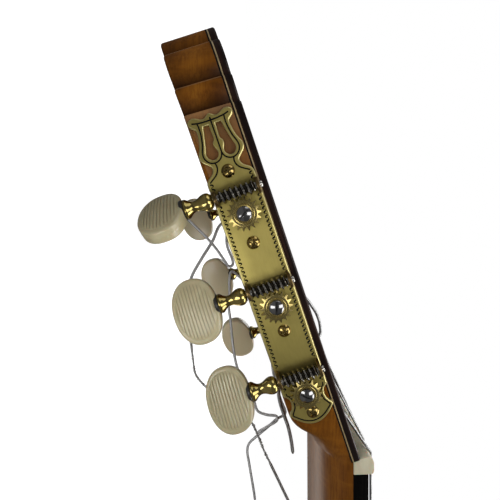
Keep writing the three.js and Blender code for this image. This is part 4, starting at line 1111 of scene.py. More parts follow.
for k, (a, b, mt) in enumerate(((45.2, 45.8, "dark_veneer"), (45.8, 46.6, "light_veneer"), (46.6, 47.2, "dark_veneer"), (47.2, 48.6, "binding"), (48.6, 49.2, "light_veneer"),
                                (58.0, 58.6, "light_veneer"), (58.6, 60.0, "binding"), (60.0, 60.6, "dark_veneer"), (60.6, 61.4, "light_veneer"), (61.4, 62.0, "dark_veneer"))):
    ring_band(f"rosette_ring_{k}", a, b, mt)
rows, cols = 9, 252
rv, rf, rm = [], [], []
for j in range(rows + 1):
    r = 49.2 + 8.8 * j / rows
    for i in range(cols):
        a = 2 * math.pi * i / cols
        rv.append((r * math.cos(a), Y_HOLE + r * math.sin(a), DEPTH + 0.03))
for j in range(rows):
    for i in range(cols):
        rf.append((j * cols + i, j * cols + (i + 1) % cols, (j + 1) * cols + (i + 1) % cols, (j + 1) * cols + i))
        p, q = i % 12, abs(j - 4)
        d = min(p, 12 - p) + q
        rm.append(3 if d in (5, 8) else 0 if d < 2 else 2 if d in (2, 3, 6, 7) else 1 if d == 4 else 3)
# a rim below the tiles closes the band
lower = len(rv)
for r in (49.2, 58.0):
    for i in range(cols):
        a = 2 * math.pi * i / cols
        rv.append((r * math.cos(a), Y_HOLE + r * math.sin(a), DEPTH - 0.3))
for i in range(cols):
    j = (i + 1) % cols
    rf.append((i, lower + i, lower + j, j)); rm.append(3)
    rf.append((rows * cols + i, rows * cols + j, lower + cols + j, lower + cols + i)); rm.append(3)
    rf.append((lower + i, lower + cols + i, lower + cols + j, lower + j)); rm.append(3)
make("rosette_mosaic", rv, rf, None, mats=[M["mosaic_a"], M["mosaic_b"], M["mosaic_c"], M["mosaic_d"]], face_mats=rm, smooth=20)

# tap plate
tap = []
for i in range(40):
    a = -1.9 + 2.72 * i / 39
    tap.append((51.5 * math.cos(a), Y_HOLE + 51.5 * math.sin(a)))
outer_pts = catmull([(36, Y_HOLE + 46), (40.5, Y_HOLE + 71), (66, Y_HOLE + 78), (92, Y_HOLE + 58), (103, Y_HOLE + 15), (103, Y_HOLE - 35), (95, Y_HOLE - 82), (72, Y_HOLE - 122), (40, Y_HOLE - 138), (-12, Y_HOLE - 141)], 8)
tap_outline = tap + [p for p in outer_pts]
prism("tap_plate_clear", tap_outline, [], DEPTH + 0.08, DEPTH + 0.6, M["clear"], None, 0.15, 0.02, 2, replaces=["tap_plate"], slot="clear_plastic")

# bridge: low wings, a tie block with pale inlays and a saddle block
y = Y_SADDLE


def bar(name, profile, x0, x1, material, end=0.8, bottom_z=None, r=0.6, **kw):
    """A bar along X with this (y, z) profile, its corners rounded and its ends softened."""
    prof = fillet(profile, r, 3)
    cy = sum(p[0] for p in prof) / len(prof)
    zb = min(p[1] for p in prof)
    rings = []
    for x, k in ((x0, 1.0), (x0 + end * 0.3, 0.5), (x0 + end, 0.0), (x1 - end, 0.0), (x1 - end * 0.3, 0.5), (x1, 1.0)):
        rings.append([(x, cy + (py - cy) * (1 - 0.04 * k), zb + (pz - zb) * (1 - 0.16 * k)) for py, pz in prof])
    v, f = loft(rings)
    return make(name, v, f, material, **kw)


bridge_parts = []
wing = [(y - 17, BR - 0.28), (y + 11, BR - 0.28), (y + 10.4, BR + 3.0), (y + 5, BR + 4.3), (y - 11, BR + 4.3), (y - 16.4, BR + 3.0)]
bar("bridge_wings", wing, -95, 95, M["rosewood"], end=5, r=1.5, replaces=["bridge"], slot="rosewood")
bar("bridge_saddle_block", [(y - 4.4, BR), (y + 10.8, BR), (y + 10.2, BR + 4.6), (y + 4.4, BR + 8.2), (y - 3.6, BR + 8.2), (y - 4.4, BR + 7.6)], -41, 41, M["rosewood"], end=1.2)
tie = bar("bridge_tie_block", [(y - 16.8, BR), (y - 7.8, BR), (y - 7.8, BR + 8.4), (y - 16.8, BR + 8.4)], -41, 41, M["rosewood"], end=0.6, r=0.5)
for nm, yy in (("a", y - 16.2), ("b", y - 8.9)):
    bar(f"tie_inlay_{nm}", [(yy - 0.75, BR + 7.4), (yy + 0.75, BR + 7.4), (yy + 0.75, BR + 8.75), (yy - 0.75, BR + 8.75)], -40.6, 40.6, M["bone"], end=0.4, r=0.2)
for k in range(13):
    x0 = -38.4 + 76.8 * k / 13
    wd = 76.8 / 13
    bar(f"tie_tile_{k}", [(y - 15.2, BR + 7.6), (y - 9.9, BR + 7.6), (y - 9.9, BR + 8.55), (y - 15.2, BR + 8.55)], x0 + 0.15, x0 + wd - 0.15, M["mosaic_c"] if k % 2 else M["mosaic_d"], end=0.1, r=0.1)
bar("saddle_bone", [(y - 1.3, BR + 3.5), (y + 1.3, BR + 3.5), (y + 1.3, BR + SADDLE_H - 0.9), (y + 0.5, BR + SADDLE_H), (y - 0.7, BR + SADDLE_H), (y - 1.3, BR + SADDLE_H - 0.8)], -39.8, 39.8, M["bone"], end=0.8, r=0.4, replaces=["saddle"], slot="bone")

# pieces inside keep their solids
for nm in ("top_bracing", "back_bracing", "lining_top", "lining_back", "tail_block"):
    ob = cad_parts[nm]
    ob.data.materials.clear()
    ob.data.materials.append(M["brace_x"] if nm in ("back_bracing", "tail_block") else M["brace"])

# ------------------------------------------------------------------ tuning machines
HALF_W = 8.75


def plate_outline_points():
    right_half = [(0, 22.2)]
    for i in range(1, 9):
        a = i / 8
        right_half.append((8.3 * a, 22.2 + 5.1 * a * a))
    right_half += [(8.6, 27.8), (8.35, 28.7), (7.5, 29.6), (6.8, 30.9), (6.5, 32.5), (6.75, 34.1), (7.55, 35.3), (8.3, 35.8), (8.7, 36.6)]
    right_half += [(HALF_W, 50), (HALF_W, 65), (HALF_W, 80), (HALF_W, 95), (HALF_W, 110), (HALF_W, 118.5)]
    top = catmull([(8.62, 119.8), (7.95, 121.05), (6.6, 122.0), (5.6, 122.9), (5.15, 123.8), (5.15, 124.7), (5.65, 125.5), (6.55, 126.3), (7.5, 127.2), (8.1, 128.3), (8.25, 129.3), (8.05, 130.2),
                   (7.4, 131.45), (6.7, 133.1), (6.3, 134.9), (6.07, 136.4), (6.0, 137.6), (6.25, 138.45), (7.0, 139.1), (7.8, 139.85), (8.2, 140.7), (8.1, 141.6), (7.6, 142.15), (6.8, 142.55),
                   (5.9, 142.66), (5.0, 142.4), (4.15, 141.95), (3.3, 141.5), (2.5, 141.35), (1.65, 141.6), (0.9, 142.15), (0.35, 142.5), (0, 142.55)], 2)
    return symmetric(right_half + top)


def lyre_hole(s):
    pts = [(1.24, 138.7)] + [(3.2, 138.72)] + catmull([(3.4, 137.65), (3.75, 136.0), (4.25, 133.75), (4.75, 131.75), (5.28, 130.1), (5.28, 129.0), (4.8, 127.95), (3.85, 127.23), (2.85, 127.15),
                   (1.92, 127.63), (1.27, 128.5), (1.2, 129.55), (1.67, 130.75), (2.0, 131.9), (1.78, 132.9), (1.27, 133.5), (1.13, 134.4), (1.15, 135.6), (1.22, 137.0)], 2)
    return [(s * x, yy) for x, yy in pts]


def lean(pts, back):
    """The plate's lyre end stands a little towards the back of the head."""
    res = []
    for q in pts:
        t = max(0.0, min(1.0, (q[1] - 111) / 12))
        res.append((q[0] + back * 0.45 * t * t * (3 - 2 * t),) + tuple(q[1:]))
    return res


ZP0, ZP1 = 0.05, 1.5      # plate faces above the wood


def stroke(points, width, z0, z1, widths=None):
    """A flat line of the given width along points, as a thin closed strip."""
    P = [Vector(p) for p in points]
    left, rightp = [], []
    n = len(P)
    for i in range(n):
        a = (P[i] - P[i - 1]).normalized() if i else (P[1] - P[0]).normalized()
        b = (P[i + 1] - P[i]).normalized() if i + 1 < n else (P[-1] - P[-2]).normalized()
        t = (a + b).normalized()
        nn = Vector((-t.y, t.x))
        w = (widths[i] if widths else width) / 2
        left.append(P[i] + nn * w)
        rightp.append(P[i] - nn * w)
    verts, faces = [], []
    for i in range(n):
        for q, z in ((left[i], z0), (rightp[i], z0), (rightp[i], z1), (left[i], z1)):
            verts.append((q.x, q.y, z))
    for i in range(n - 1):
        a, b = i * 4, i * 4 + 4
        for k in range(4):
            l = (k + 1) % 4
            faces.append((a + k, a + l, b + l, b + k))
    faces.append((3, 2, 1, 0))
    e = (n - 1) * 4
    faces.append((e, e + 1, e + 2, e + 3))
    return verts, faces


def engraving():
    """Black-filled engraved lines: a chain along each long edge, an inset line at the nut end, and the lyre's strings and frame."""
    z0, z1 = ZP1 - 0.05, ZP1 + 0.03
    parts = []
    W = 0.54
    for s in (1, -1):
        m = lambda pts: [(s * a, b) for a, b in pts]
        # nut end: half arc with its hook
        arc = [(0, 23.6)] + [(7.35 * i / 6, 23.6 + 4.3 * (i / 6) ** 2) for i in range(1, 7)]
        parts.append(stroke(catmull(m(arc + [(6.6, 29.3), (5.75, 30.7), (5.45, 32.4), (5.6, 33.4)]), 4), W, z0, z1))
        parts.append(stroke(catmull(m([(5.75, 34.2), (6.3, 35.4), (7.1, 36.3), (7.2, 37.2)]), 4), W * 0.8, z0, z1))
        # lyre frame
        loop = [(4.86, 140.33), (4.73, 138.86), (4.77, 137.1), (5.04, 135.13), (5.42, 133.3), (5.88, 131.9), (6.4, 130.4), (6.53, 128.9), (6.04, 127.6), (5.0, 126.5), (3.5, 125.97), (2.0, 126.2), (0.87, 126.95), (0.2, 128.1), (0.02, 128.9)]
        parts.append(stroke(catmull(m(loop), 4), W, z0, z1))
        parts.append(stroke(catmull(m([(3.46, 126.0), (3.2, 124.7), (3.41, 123.4), (4.2, 122.15), (5.4, 121.2), (6.5, 120.5), (7.47, 119.9)]), 4), W, z0, z1))
        # chain along the long edge: a row of small hooks
        n = 50
        pitch = (119.6 - 38.0) / n
        for i in range(n):
            y0 = 119.6 - pitch * i
            if any(abs(y0 - pitch / 2 - (u + WORM_OFF)) < 3.2 for u in ROLLER_U):
                continue
            unit = [(0.40, 0.0), (0.41, 0.2), (0.2, 0.34), (-0.18, 0.44), (-0.40, 0.64), (-0.42, 0.9), (-0.18, 1.08), (0.06, 1.12), (0.25, 1.2), (0.37, 1.4), (0.40, 1.63)]
            width = [0.30, 0.46, 0.60, 0.62, 0.56, 0.44, 0.30, 0.20, 0.20, 0.24, 0.30]
            k = pitch / 1.63
            parts.append(stroke(m([(7.2 + w, y0 - t * k) for w, t in unit]), 0.4, z0, z1, widths=width))
    parts.append(stroke(catmull([(-6.7, 140.84), (-4.7, 140.38), (-2.4, 140.14), (0, 140.1), (2.4, 140.14), (4.7, 140.38), (6.7, 140.84)], 5), W, z0, z1 + 0.004))
    parts.append(stroke([(0, 141.1), (0, 138.2), (0.02, 135), (0.02, 131), (0.02, 128.6)], W, z0, z1 + 0.008))
    return merge_data(*parts)


def screw_head(cx, cy, z, r=2.45, h=1.25, turn=0.4):
    """A domed screw head with a cross recess."""
    rows, n = [], 44
    R = (r * r + h * h) / (2 * h)
    levels = 12
    verts, faces = [], []
    verts.append((cx, cy, 0))
    ringz = []
    for k in range(levels + 1):
        rr = r * k / levels
        ringz.append(rr)
    grid = []
    for k, rr in enumerate(ringz):
        row = []
        for i in range(n):
            a = 2 * math.pi * i / n
            x, yv = rr * math.cos(a), rr * math.sin(a)
            zz = math.sqrt(max(R * R - rr * rr, 0)) - (R - h)
            c, s = math.cos(turn), math.sin(turn)
            p, q = abs(x * c + yv * s), abs(-x * s + yv * c)
            arm = r * 0.5
            inside = min(max(0.0, 1 - max(p - 0.30, 0) / 0.12) if q < arm else 0, 1) if p < 0.42 and q < arm else 0
            inside2 = min(max(0.0, 1 - max(q - 0.30, 0) / 0.12) if p < arm else 0, 1) if q < 0.42 and p < arm else 0
            zz -= 0.55 * max(inside, inside2)
            row.append((cx + x, cy + yv, z + zz))
        grid.append(row)
    verts = [grid[0][0]]
    for row in grid[1:]:
        verts += row
    for i in range(n):
        faces.append((0, 1 + i, 1 + (i + 1) % n))
    for k in range(levels - 1):
        a, b = 1 + k * n, 1 + (k + 1) * n
        for i in range(n):
            j = (i + 1) % n
            faces.append((a + i, b + i, b + j, a + j))
    base = 1 + (levels - 1) * n
    lo = len(verts)
    for i in range(n):
        a = 2 * math.pi * i / n
        verts.append((cx + r * math.cos(a), cy + r * math.sin(a), z - 0.3))
    for i in range(n):
        j = (i + 1) % n
        faces.append((base + i, lo + i, lo + j, base + j))
    faces.append(tuple(lo + i for i in range(n))[::-1])
    return verts, faces


SCREWS = [(-0.23, 26.9), (0.09, 60.8), (0.25, 95.4), (0.43, 122.0)]
PLATE_OUT = plate_outline_points()
for key in ("bass", "treble"):
    mtx = SIDE[key]["matrix"]
    bk = SIDE[key]["back"]
    out_pts = lean(PLATE_OUT, bk)
    lh = [lean(lyre_hole(1), bk), lean(lyre_hole(-1), bk)]
    # body with its bright bevelled edge, then the brushed face
    prism(f"machine_plate_{key}_edge", out_pts, lh, ZP0, ZP1, M["plate_edge"], mtx, 0.45, 0.05, 3, replaces=[f"machine_plate_{key}"], slot="brass")
    inner = offset_poly(out_pts if area2(out_pts) > 0 else out_pts[::-1], 0.5)
    ih = [offset_poly(h if area2(h) < 0 else h[::-1], 0.46) for h in lh]
    prism(f"machine_plate_{key}_face", inner, ih, ZP1 - 0.2, ZP1 + 0.012, M["plate"], mtx, 0.005, 0.005, 1, slot="brass")
    v, f = engraving()
    make(f"machine_plate_{key}_engraving", lean(v, bk), f, M["black"], mtx, smooth=20, clean=False)
    parts = [screw_head(bk * xx, yy, ZP1, turn=0.75 + 0.9 * i) for i, (xx, yy) in enumerate(SCREWS)]
    v, f = merge_data(*parts)
    make(f"machine_plate_{key}_screws", v, f, M["screw"], mtx, smooth=38)
    # bearings: an arched cheek at each end of every thread
    parts = []
    for u in ROLLER_U:
        yy = u + WORM_OFF
        for x0, x1 in ((-8.3, -7.15), (7.15, 8.3)):
            prof = [(-3.0, 1.2), (3.0, 1.2), (2.95, 3.2), (2.75, 4.9), (2.2, 6.1), (1.4, 6.75), (0.5, 7.0), (-0.5, 7.0), (-1.4, 6.75), (-2.2, 6.1), (-2.75, 4.9), (-2.95, 3.2)]
            hole = [(1.5 * math.cos(a), WORM_H + 1.5 * math.sin(a)) for a in [2 * math.pi * i / 20 for i in range(20)]]
            v, f = prism_data(prof, [hole], x0, x1, 0.22, 0.22, 3)
            # prism axes (x, y, z) become (y, z, x)
            parts.append(([(c, a + yy, b) for a, b, c in v], f))
    v, f = merge_data(*parts)
    make(f"machine_plate_{key}_bearings", v, f, M["bearing"], mtx, smooth=35)


def gear_mesh():
    """Eighteen teeth on a wheel whose face falls away to the tips, and a raised knurled ring round the bolt."""
    pts, pitch = [], 2 * math.pi / TEETH
    for k in range(TEETH):
        c = math.pi / 2 + k * pitch
        for r, a in ((4.78, -0.5 * pitch), (4.86, -0.115), (5.35, -0.075), (5.8, -0.044), (6.05, -0.026), (6.12, 0.0), (6.05, 0.026), (5.8, 0.044), (5.35, 0.075), (4.86, 0.115)):
            pts.append((r * math.cos(c + a), r * math.sin(c + a)))
    n = len(pts)
    rr = [math.hypot(x, y) for x, y in pts]
    ring = lambda r, z: [(x / q * r, y / q * r, z) for (x, y), q in zip(pts, rr)]
    face = lambda r: 5.2 - max(0.0, r - 4.45) * 0.46
    rings = [ring(2.2, 3.9), [(x, y, 3.9) for x, y in pts], [(x, y, face(q) - 0.1) for (x, y), q in zip(pts, rr)], [(x * 0.988, y * 0.988, face(q * 0.988)) for (x, y), q in zip(pts, rr)],
             ring(4.6, face(4.6)), ring(4.42, 5.2), ring(4.2, 5.2), ring(3.7, 5.19), ring(3.62, 5.25), ring(3.45, 5.30), ring(3.2, 5.32), ring(2.95, 5.30), ring(2.8, 5.25), ring(2.2, 5.25)]
    v = [p for r in rings for p in r]
    faces = []
    for a in range(len(rings) - 1):
        for i in range(n):
            j = (i + 1) % n
            faces.append((a * n + i, a * n + j, (a + 1) * n + j, (a + 1) * n + i))
    last = (len(rings) - 1) * n
    for i in range(n):
        j = (i + 1) % n
        faces.append((last + i, last + j, j, i))
    parts = [(v, faces)]
    for k in range(36):     # knurls
        a = 2 * math.pi * k / 36
        c, sn = math.cos(a), math.sin(a)
        kv, kf = lathe_data([(0, -0.42), (0.12, -0.38), (0.17, -0.2), (0.17, 0.2), (0.12, 0.38), (0, 0.42)], 6)
        parts.append(([(3.25 * c + z * 0.9 * c - x * sn, 3.25 * sn + z * 0.9 * sn + x * c, 5.30 + y) for x, y, z in kv], kf))
    return merge_data(*parts)


def bolt_mesh(angle):
    """A domed bolt head; its driver slot is cut afterwards."""
    r, h, z = 2.6, 0.95, 5.6
    R = (r * r + h * h) / (2 * h)
    rows = [(0, 4.9), (1.1, 4.9), (1.1, 5.3), (r * 0.93, 5.3), (r, 5.4), (r, z)]
    for k in range(1, 19):
        rr = r * math.cos(math.pi / 2 * k / 18)
        rows.append((rr, z + math.sqrt(R * R - rr * rr) - (R - h)))
    return lathe_data(rows[:-1] + [(0, z + h)], 56)


def roller_mesh():
    return lathe_data([(0, -27.6), (1.9, -27.6), (2.3, -27.2), (2.3, -22.6), (4.4, -22.6), (4.9, -22.2), (5.0, -21.6), (5.0, -10.2), (4.9, -9.7), (4.5, -9.45), (3.0, -9.45), (3.0, 3.7), (2.1, 3.8), (1.8, 4.2), (1.8, 5.6), (0, 5.6)], 40)


def worm_mesh():
    """The thread, seven turns with sloped flanks, running out at both ends."""
    N, turns = 40, 7
    z0, z1 = -turns * LEAD / 2, turns * LEAD / 2
    prof = [(0.0, 0.0), (0.16, 0.25), (0.34, 0.85), (0.46, 1.0), (0.92, 1.0), (1.04, 0.85), (1.22, 0.25), (1.38, 0.0)]
    phase = 0.1158
    rows = []
    for j in range(N + 1):
        th = 2 * math.pi * (j % N) / N
        row = [(1.55, z0)]
        for k in range(-1, turns + 1):
            for o, hgt in prof:
                z = z0 + LEAD * (k + j / N + phase) + o
                zc = min(max(z, z0), z1)
                fade = max(0.0, min(1.0, (zc - z0) / 0.9, (z1 - zc) / 0.9))
                row.append((1.55 + hgt * 1.0 * fade, zc))
        row.append((1.55, z1))
        rows.append([(r * math.cos(th), r * math.sin(th), z) for r, z in row])
    verts, faces = [], []
    n = len(rows[0])
    for r in rows[:-1]:
        verts += r
    # the last column equals the first moved by one thread, so it gets vertices of its own
    verts += rows[-1]
    for j in range(N):
        for i in range(n - 1):
            faces.append((j * n + i, (j + 1) * n + i, (j + 1) * n + i + 1, j * n + i + 1))
    caps = lathe_data([(0, z0 - 2.6), (1.25, z0 - 2.6), (1.25, z0), (1.55, z0)], N)
    caps2 = lathe_data([(1.55, z1), (1.3, z1), (1.3, 8.9), (1.05, 9.25), (0, 9.3)], N)
    return merge_data((verts, faces), caps, caps2)


def knob_mesh():
    """The turned brass part of the shaft: ring, bulb, neck, flange, and the stub inside the button."""
    rows = [(0, -24.0), (1.3, -24.0), (1.3, -18.75), (3.2, -18.75), (3.45, -18.55), (3.52, -18.15), (3.4, -17.75), (3.05, -17.3), (2.6, -16.8), (2.2, -16.2), (1.95, -15.5), (1.9, -14.8),
            (2.05, -14.0), (2.4, -13.2), (2.8, -12.4), (3.08, -11.6), (3.18, -10.9), (3.1, -10.2), (2.85, -9.6), (2.5, -9.2), (2.2, -9.0), (2.3, -8.85), (2.1, -8.7), (1.25, -8.65), (1.25, -8.0), (0, -8.0)]
    return lathe_data(rows, 56)


def button_mesh(side):
    """Oval button with a plain rim. One face carries fine raised lines across the shaft, the other is smooth."""
    A, BF, BS = 11.65, 8.3, 8.05            # half length along the head, reach away from and towards the shaft
    T_FAR, T_NEAR, WALL = 3.1, 3.7, 1.75   # half thickness of the crown at both ends, half height of the rim's wall
    RHO = 0.87

    def squareness(z):
        return 2.15 if z < 0 else 2.45

    def half_length(z, rho):
        b = BF if z < 0 else BS
        ez = squareness(z)
        return A * max(rho ** ez - (abs(z) / b) ** ez, 0.0) ** (1 / ez)

    fine = [0.0015, 0.007, 0.02, 0.045]
    fr = [-1.0] + [-1 + q for q in fine]
    n = 92
    fr += [-0.93 + 1.86 * k / n for k in range(n + 1)]
    fr += [1 - q for q in reversed(fine)] + [1.0]
    zs = [f * RHO * (BF if f < 0 else BS) for f in fr]
    cols = 22
    verts, faces = [], []
    groove = {}

    def crown(x, z):
        b = BF if z < 0 else BS
        rho = ((abs(x) / A) ** 2.3 + (abs(z) / b) ** 2.3) ** (1 / 2.3)
        t = T_FAR + (T_NEAR - T_FAR) * (z + BF) / (BF + BS)
        return t - 0.75 * (rho / RHO) ** 2.4, rho

    loops = {}
    for sgn in (1, -1):
        start = len(verts)
        index = []
        for z in zs:
            hx = half_length(z, RHO)
            row = []
            if hx < 1e-6:
                y, rho = crown(0, z)
                row = [len(verts)] * (cols + 1)
                verts.append((0.0, sgn * y, z))
            else:
                for k in range(cols + 1):
                    x = hx * math.sin(math.pi / 2 * (2 * k / cols - 1)) if cols else 0
                    y, rho = crown(x, z)
                    if sgn == side:
                        lead = min(1.0, max(0.0, (0.845 - rho) * 16)) * min(1.0, (z + BF) / 2.0)
                        near = abs((z / 1.2 + 0.5) % 1.0 - 0.5) * 2      # 0 on a rib, 1 in a groove
                        y += 0.24 * (1 - near ** 3) * lead
                        groove[len(verts)] = lead * max(0.0, (near - 0.6) / 0.4)
                    # the treble buttons' plain face gets -1, which paints it lighter: painted light
                    elif side < 0:
                        groove[len(verts)] = -1.0
                    row.append(len(verts))
                    verts.append((x, sgn * y, z))
            index.append(row)
        for a_, b_ in zip(index, index[1:]):
            for k in range(cols):
                q = [a_[k], a_[k + 1], b_[k + 1], b_[k]]
                q = [v for i, v in enumerate(q) if v not in q[:i]]
                if len(q) > 2:
                    faces.append(tuple(q if sgn < 0 else q[::-1]))
        loops[sgn] = [r[-1] for r in index] + [r[0] for r in index[-2:0:-1]]
    # rim: rounded shoulders down to an upright wall with a faint mould line
    ring = loops[1]
    m = len(ring)

    def at(i, rho, y):
        x0, _, z0 = verts[ring[i]]
        return (x0 / RHO * rho, y, z0 / RHO * rho)
    rows = [loops[1]]
    steps = 6
    profile = []
    for k in range(1, steps + 1):
        a_ = math.pi / 2 * k / steps
        profile.append((RHO + (1 - RHO) * math.sin(a_), math.cos(a_)))
    tops = [abs(verts[i][1]) for i in loops[1]]
    for rho, q in profile:
        row = []
        for i in range(m):
            row.append(len(verts))
            verts.append(at(i, rho, WALL + (tops[i] - WALL) * q))
        rows.append(row)
    for rho, y in ((1.0, 0.25), (1.007, 0.0), (1.0, -0.25), (1.0, -WALL)):
        row = []
        for i in range(m):
            row.append(len(verts))
            verts.append(at(i, rho, y))
        rows.append(row)
    for rho, q in reversed(profile[:-1]):
        row = []
        for i in range(m):
            row.append(len(verts))
            verts.append(at(i, rho, -WALL - (tops[i] - WALL) * q))
        rows.append(row)
    rows.append(loops[-1])
    for a_, b_ in zip(rows, rows[1:]):
        for i in range(m):
            j = (i + 1) % m
            faces.append((a_[i], a_[j], b_[j], b_[i]))
    # the rim on the plain side of the treble buttons also gets -1: painted light
    return [(x, y, z - 26.95) for x, y, z in verts], faces, [groove.get(i, -1.0 if side < 0 and p[1] > 0.3 else 0.0) for i, p in enumerate(verts)]


BUTTON_TURN = {"bass": [-0.42, -0.25, -0.99], "treble": [0.3, 0.12, 0.0]}
SCREW_TURN = {"bass": [-0.7, 1.22, 0.52], "treble": [0.6, 1.2, 2.2]}
GEAR, WORM, KNOB = gear_mesh(), worm_mesh(), knob_mesh()
BUTTON = {"bass": button_mesh(1), "treble": button_mesh(-1)}
ROLLER = roller_mesh()


def string_point(n, key, u):
    sgn = SIDE[key]["sign"]
    return sgn


for key in ("bass", "treble"):
    S = SIDE[key]
    for i, u in enumerate(ROLLER_U):
        n = STRING[key][i]
        spin = S["matrix"] @ Matrix.Translation((0, u * MM, 0))
        make(f"gear_{n}_brass", *GEAR, M["gear"], spin, body=f"roller_{n}", replaces=[f"gear_{n}"], slot="brass", smooth=35)
        bolt = raw(f"bolt_{n}", *bolt_mesh(0))
        cutter = bpy.data.objects.new("slot_cut", bpy.data.meshes.new("slot_cut"))
        scene.collection.objects.link(cutter)
        bm = bmesh.new()
        bmesh.ops.create_cube(bm, size=1.0, matrix=Matrix.Rotation(SCREW_TURN[key][i], 4, "Z") @ Matrix.Diagonal((0.02, 0.00066, 0.002, 1)))
        bmesh.ops.translate(bm, verts=bm.verts, vec=(0, 0, 0.00672))
        bm.to_mesh(cutter.data)
        bm.free()
        boolean(bolt, cutter)
        finish_mesh(bolt, 35)
        bolt.data.materials.clear()
        bolt.data.materials.append(M["steel"])
        bolt.data.materials.append(M["slot"])
        ca, sa = math.cos(SCREW_TURN[key][i]), math.sin(SCREW_TURN[key][i])
        for p in bolt.data.polygons:     # painted shade: the slot's faces take the near-black material
            p.material_index = 1 if abs(p.center.y * ca - p.center.x * sa) < 0.000331 and p.center.z > 0.0057 else 0
        bolt.matrix_world = spin
        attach(bolt, f"roller_{n}")
        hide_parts(f"gear_screw_{n}")
        make(f"roller_{n}_barrel", *ROLLER, M["barrel"], spin, body=f"roller_{n}", replaces=[f"roller_{n}"], slot="white_barrel", smooth=35)
        # the string's winding on the roller
        r = RADIUS[n]
        turns = 4.25
        pts = []
        steps = int(turns * 26)
        R = 5.0 + r
        for k in range(steps + 1):
            a = 2 * math.pi * turns * k / steps
            zz = -15.75 + (k / steps - 0.5) * turns * 2 * r * 1.03
            pts.append((R * math.cos(a), R * math.sin(a), zz))
        v, f, al = tube_data(pts, r, 8)
        make(f"winding_{n}", v, f, M["wound"] if n > 3 else M["nylon"], spin, body=f"roller_{n}", along=al, clean=False, smooth=60)
        zdir = Vector((-S["back"], 0, 0))
        xdir = Vector((0, 1, 0))
        basis = Matrix((xdir, zdir.cross(xdir), zdir)).transposed().to_4x4()
        turn = S["matrix"] @ Matrix.Translation((0, (u + WORM_OFF) * MM, WORM_H * MM)) @ basis
        make(f"worm_{n}_thread", *WORM, M["worm"], turn, along=[max(0.0, min(1.0, 1 - (math.hypot(x, y) - 1.55) / 0.9)) if abs(z) < 6.6 else 0.0 for x, y, z in WORM[0]], body=f"button_{n}", replaces=[f"worm_shaft_{n}"], slot="steel", smooth=40)
        make(f"worm_{n}_knob", *KNOB, M["brass"], turn, body=f"button_{n}", smooth=50)
        # painted shade: a near-black ring fills the gap between the flange and the button
        v, f = lathe_data([(1.35, -18.72), (3.3, -18.72), (3.6, -18.95), (3.65, -19.6), (3.4, -19.95), (1.35, -19.9), (1.35, -18.72)], 36)
        make(f"worm_{n}_gap_shade_ring", v, f, M["collar"], turn, body=f"button_{n}", smooth=35)
        bt = turn @ Matrix.Rotation(BUTTON_TURN[key][i], 4, "Z")
        v, f, al = BUTTON[key]
        make(f"button_{n}_ivory", v, f, M["button"], bt, along=al, body=f"button_{n}", replaces=[f"button_{n}"], slot="ivory_plastic", smooth=50)

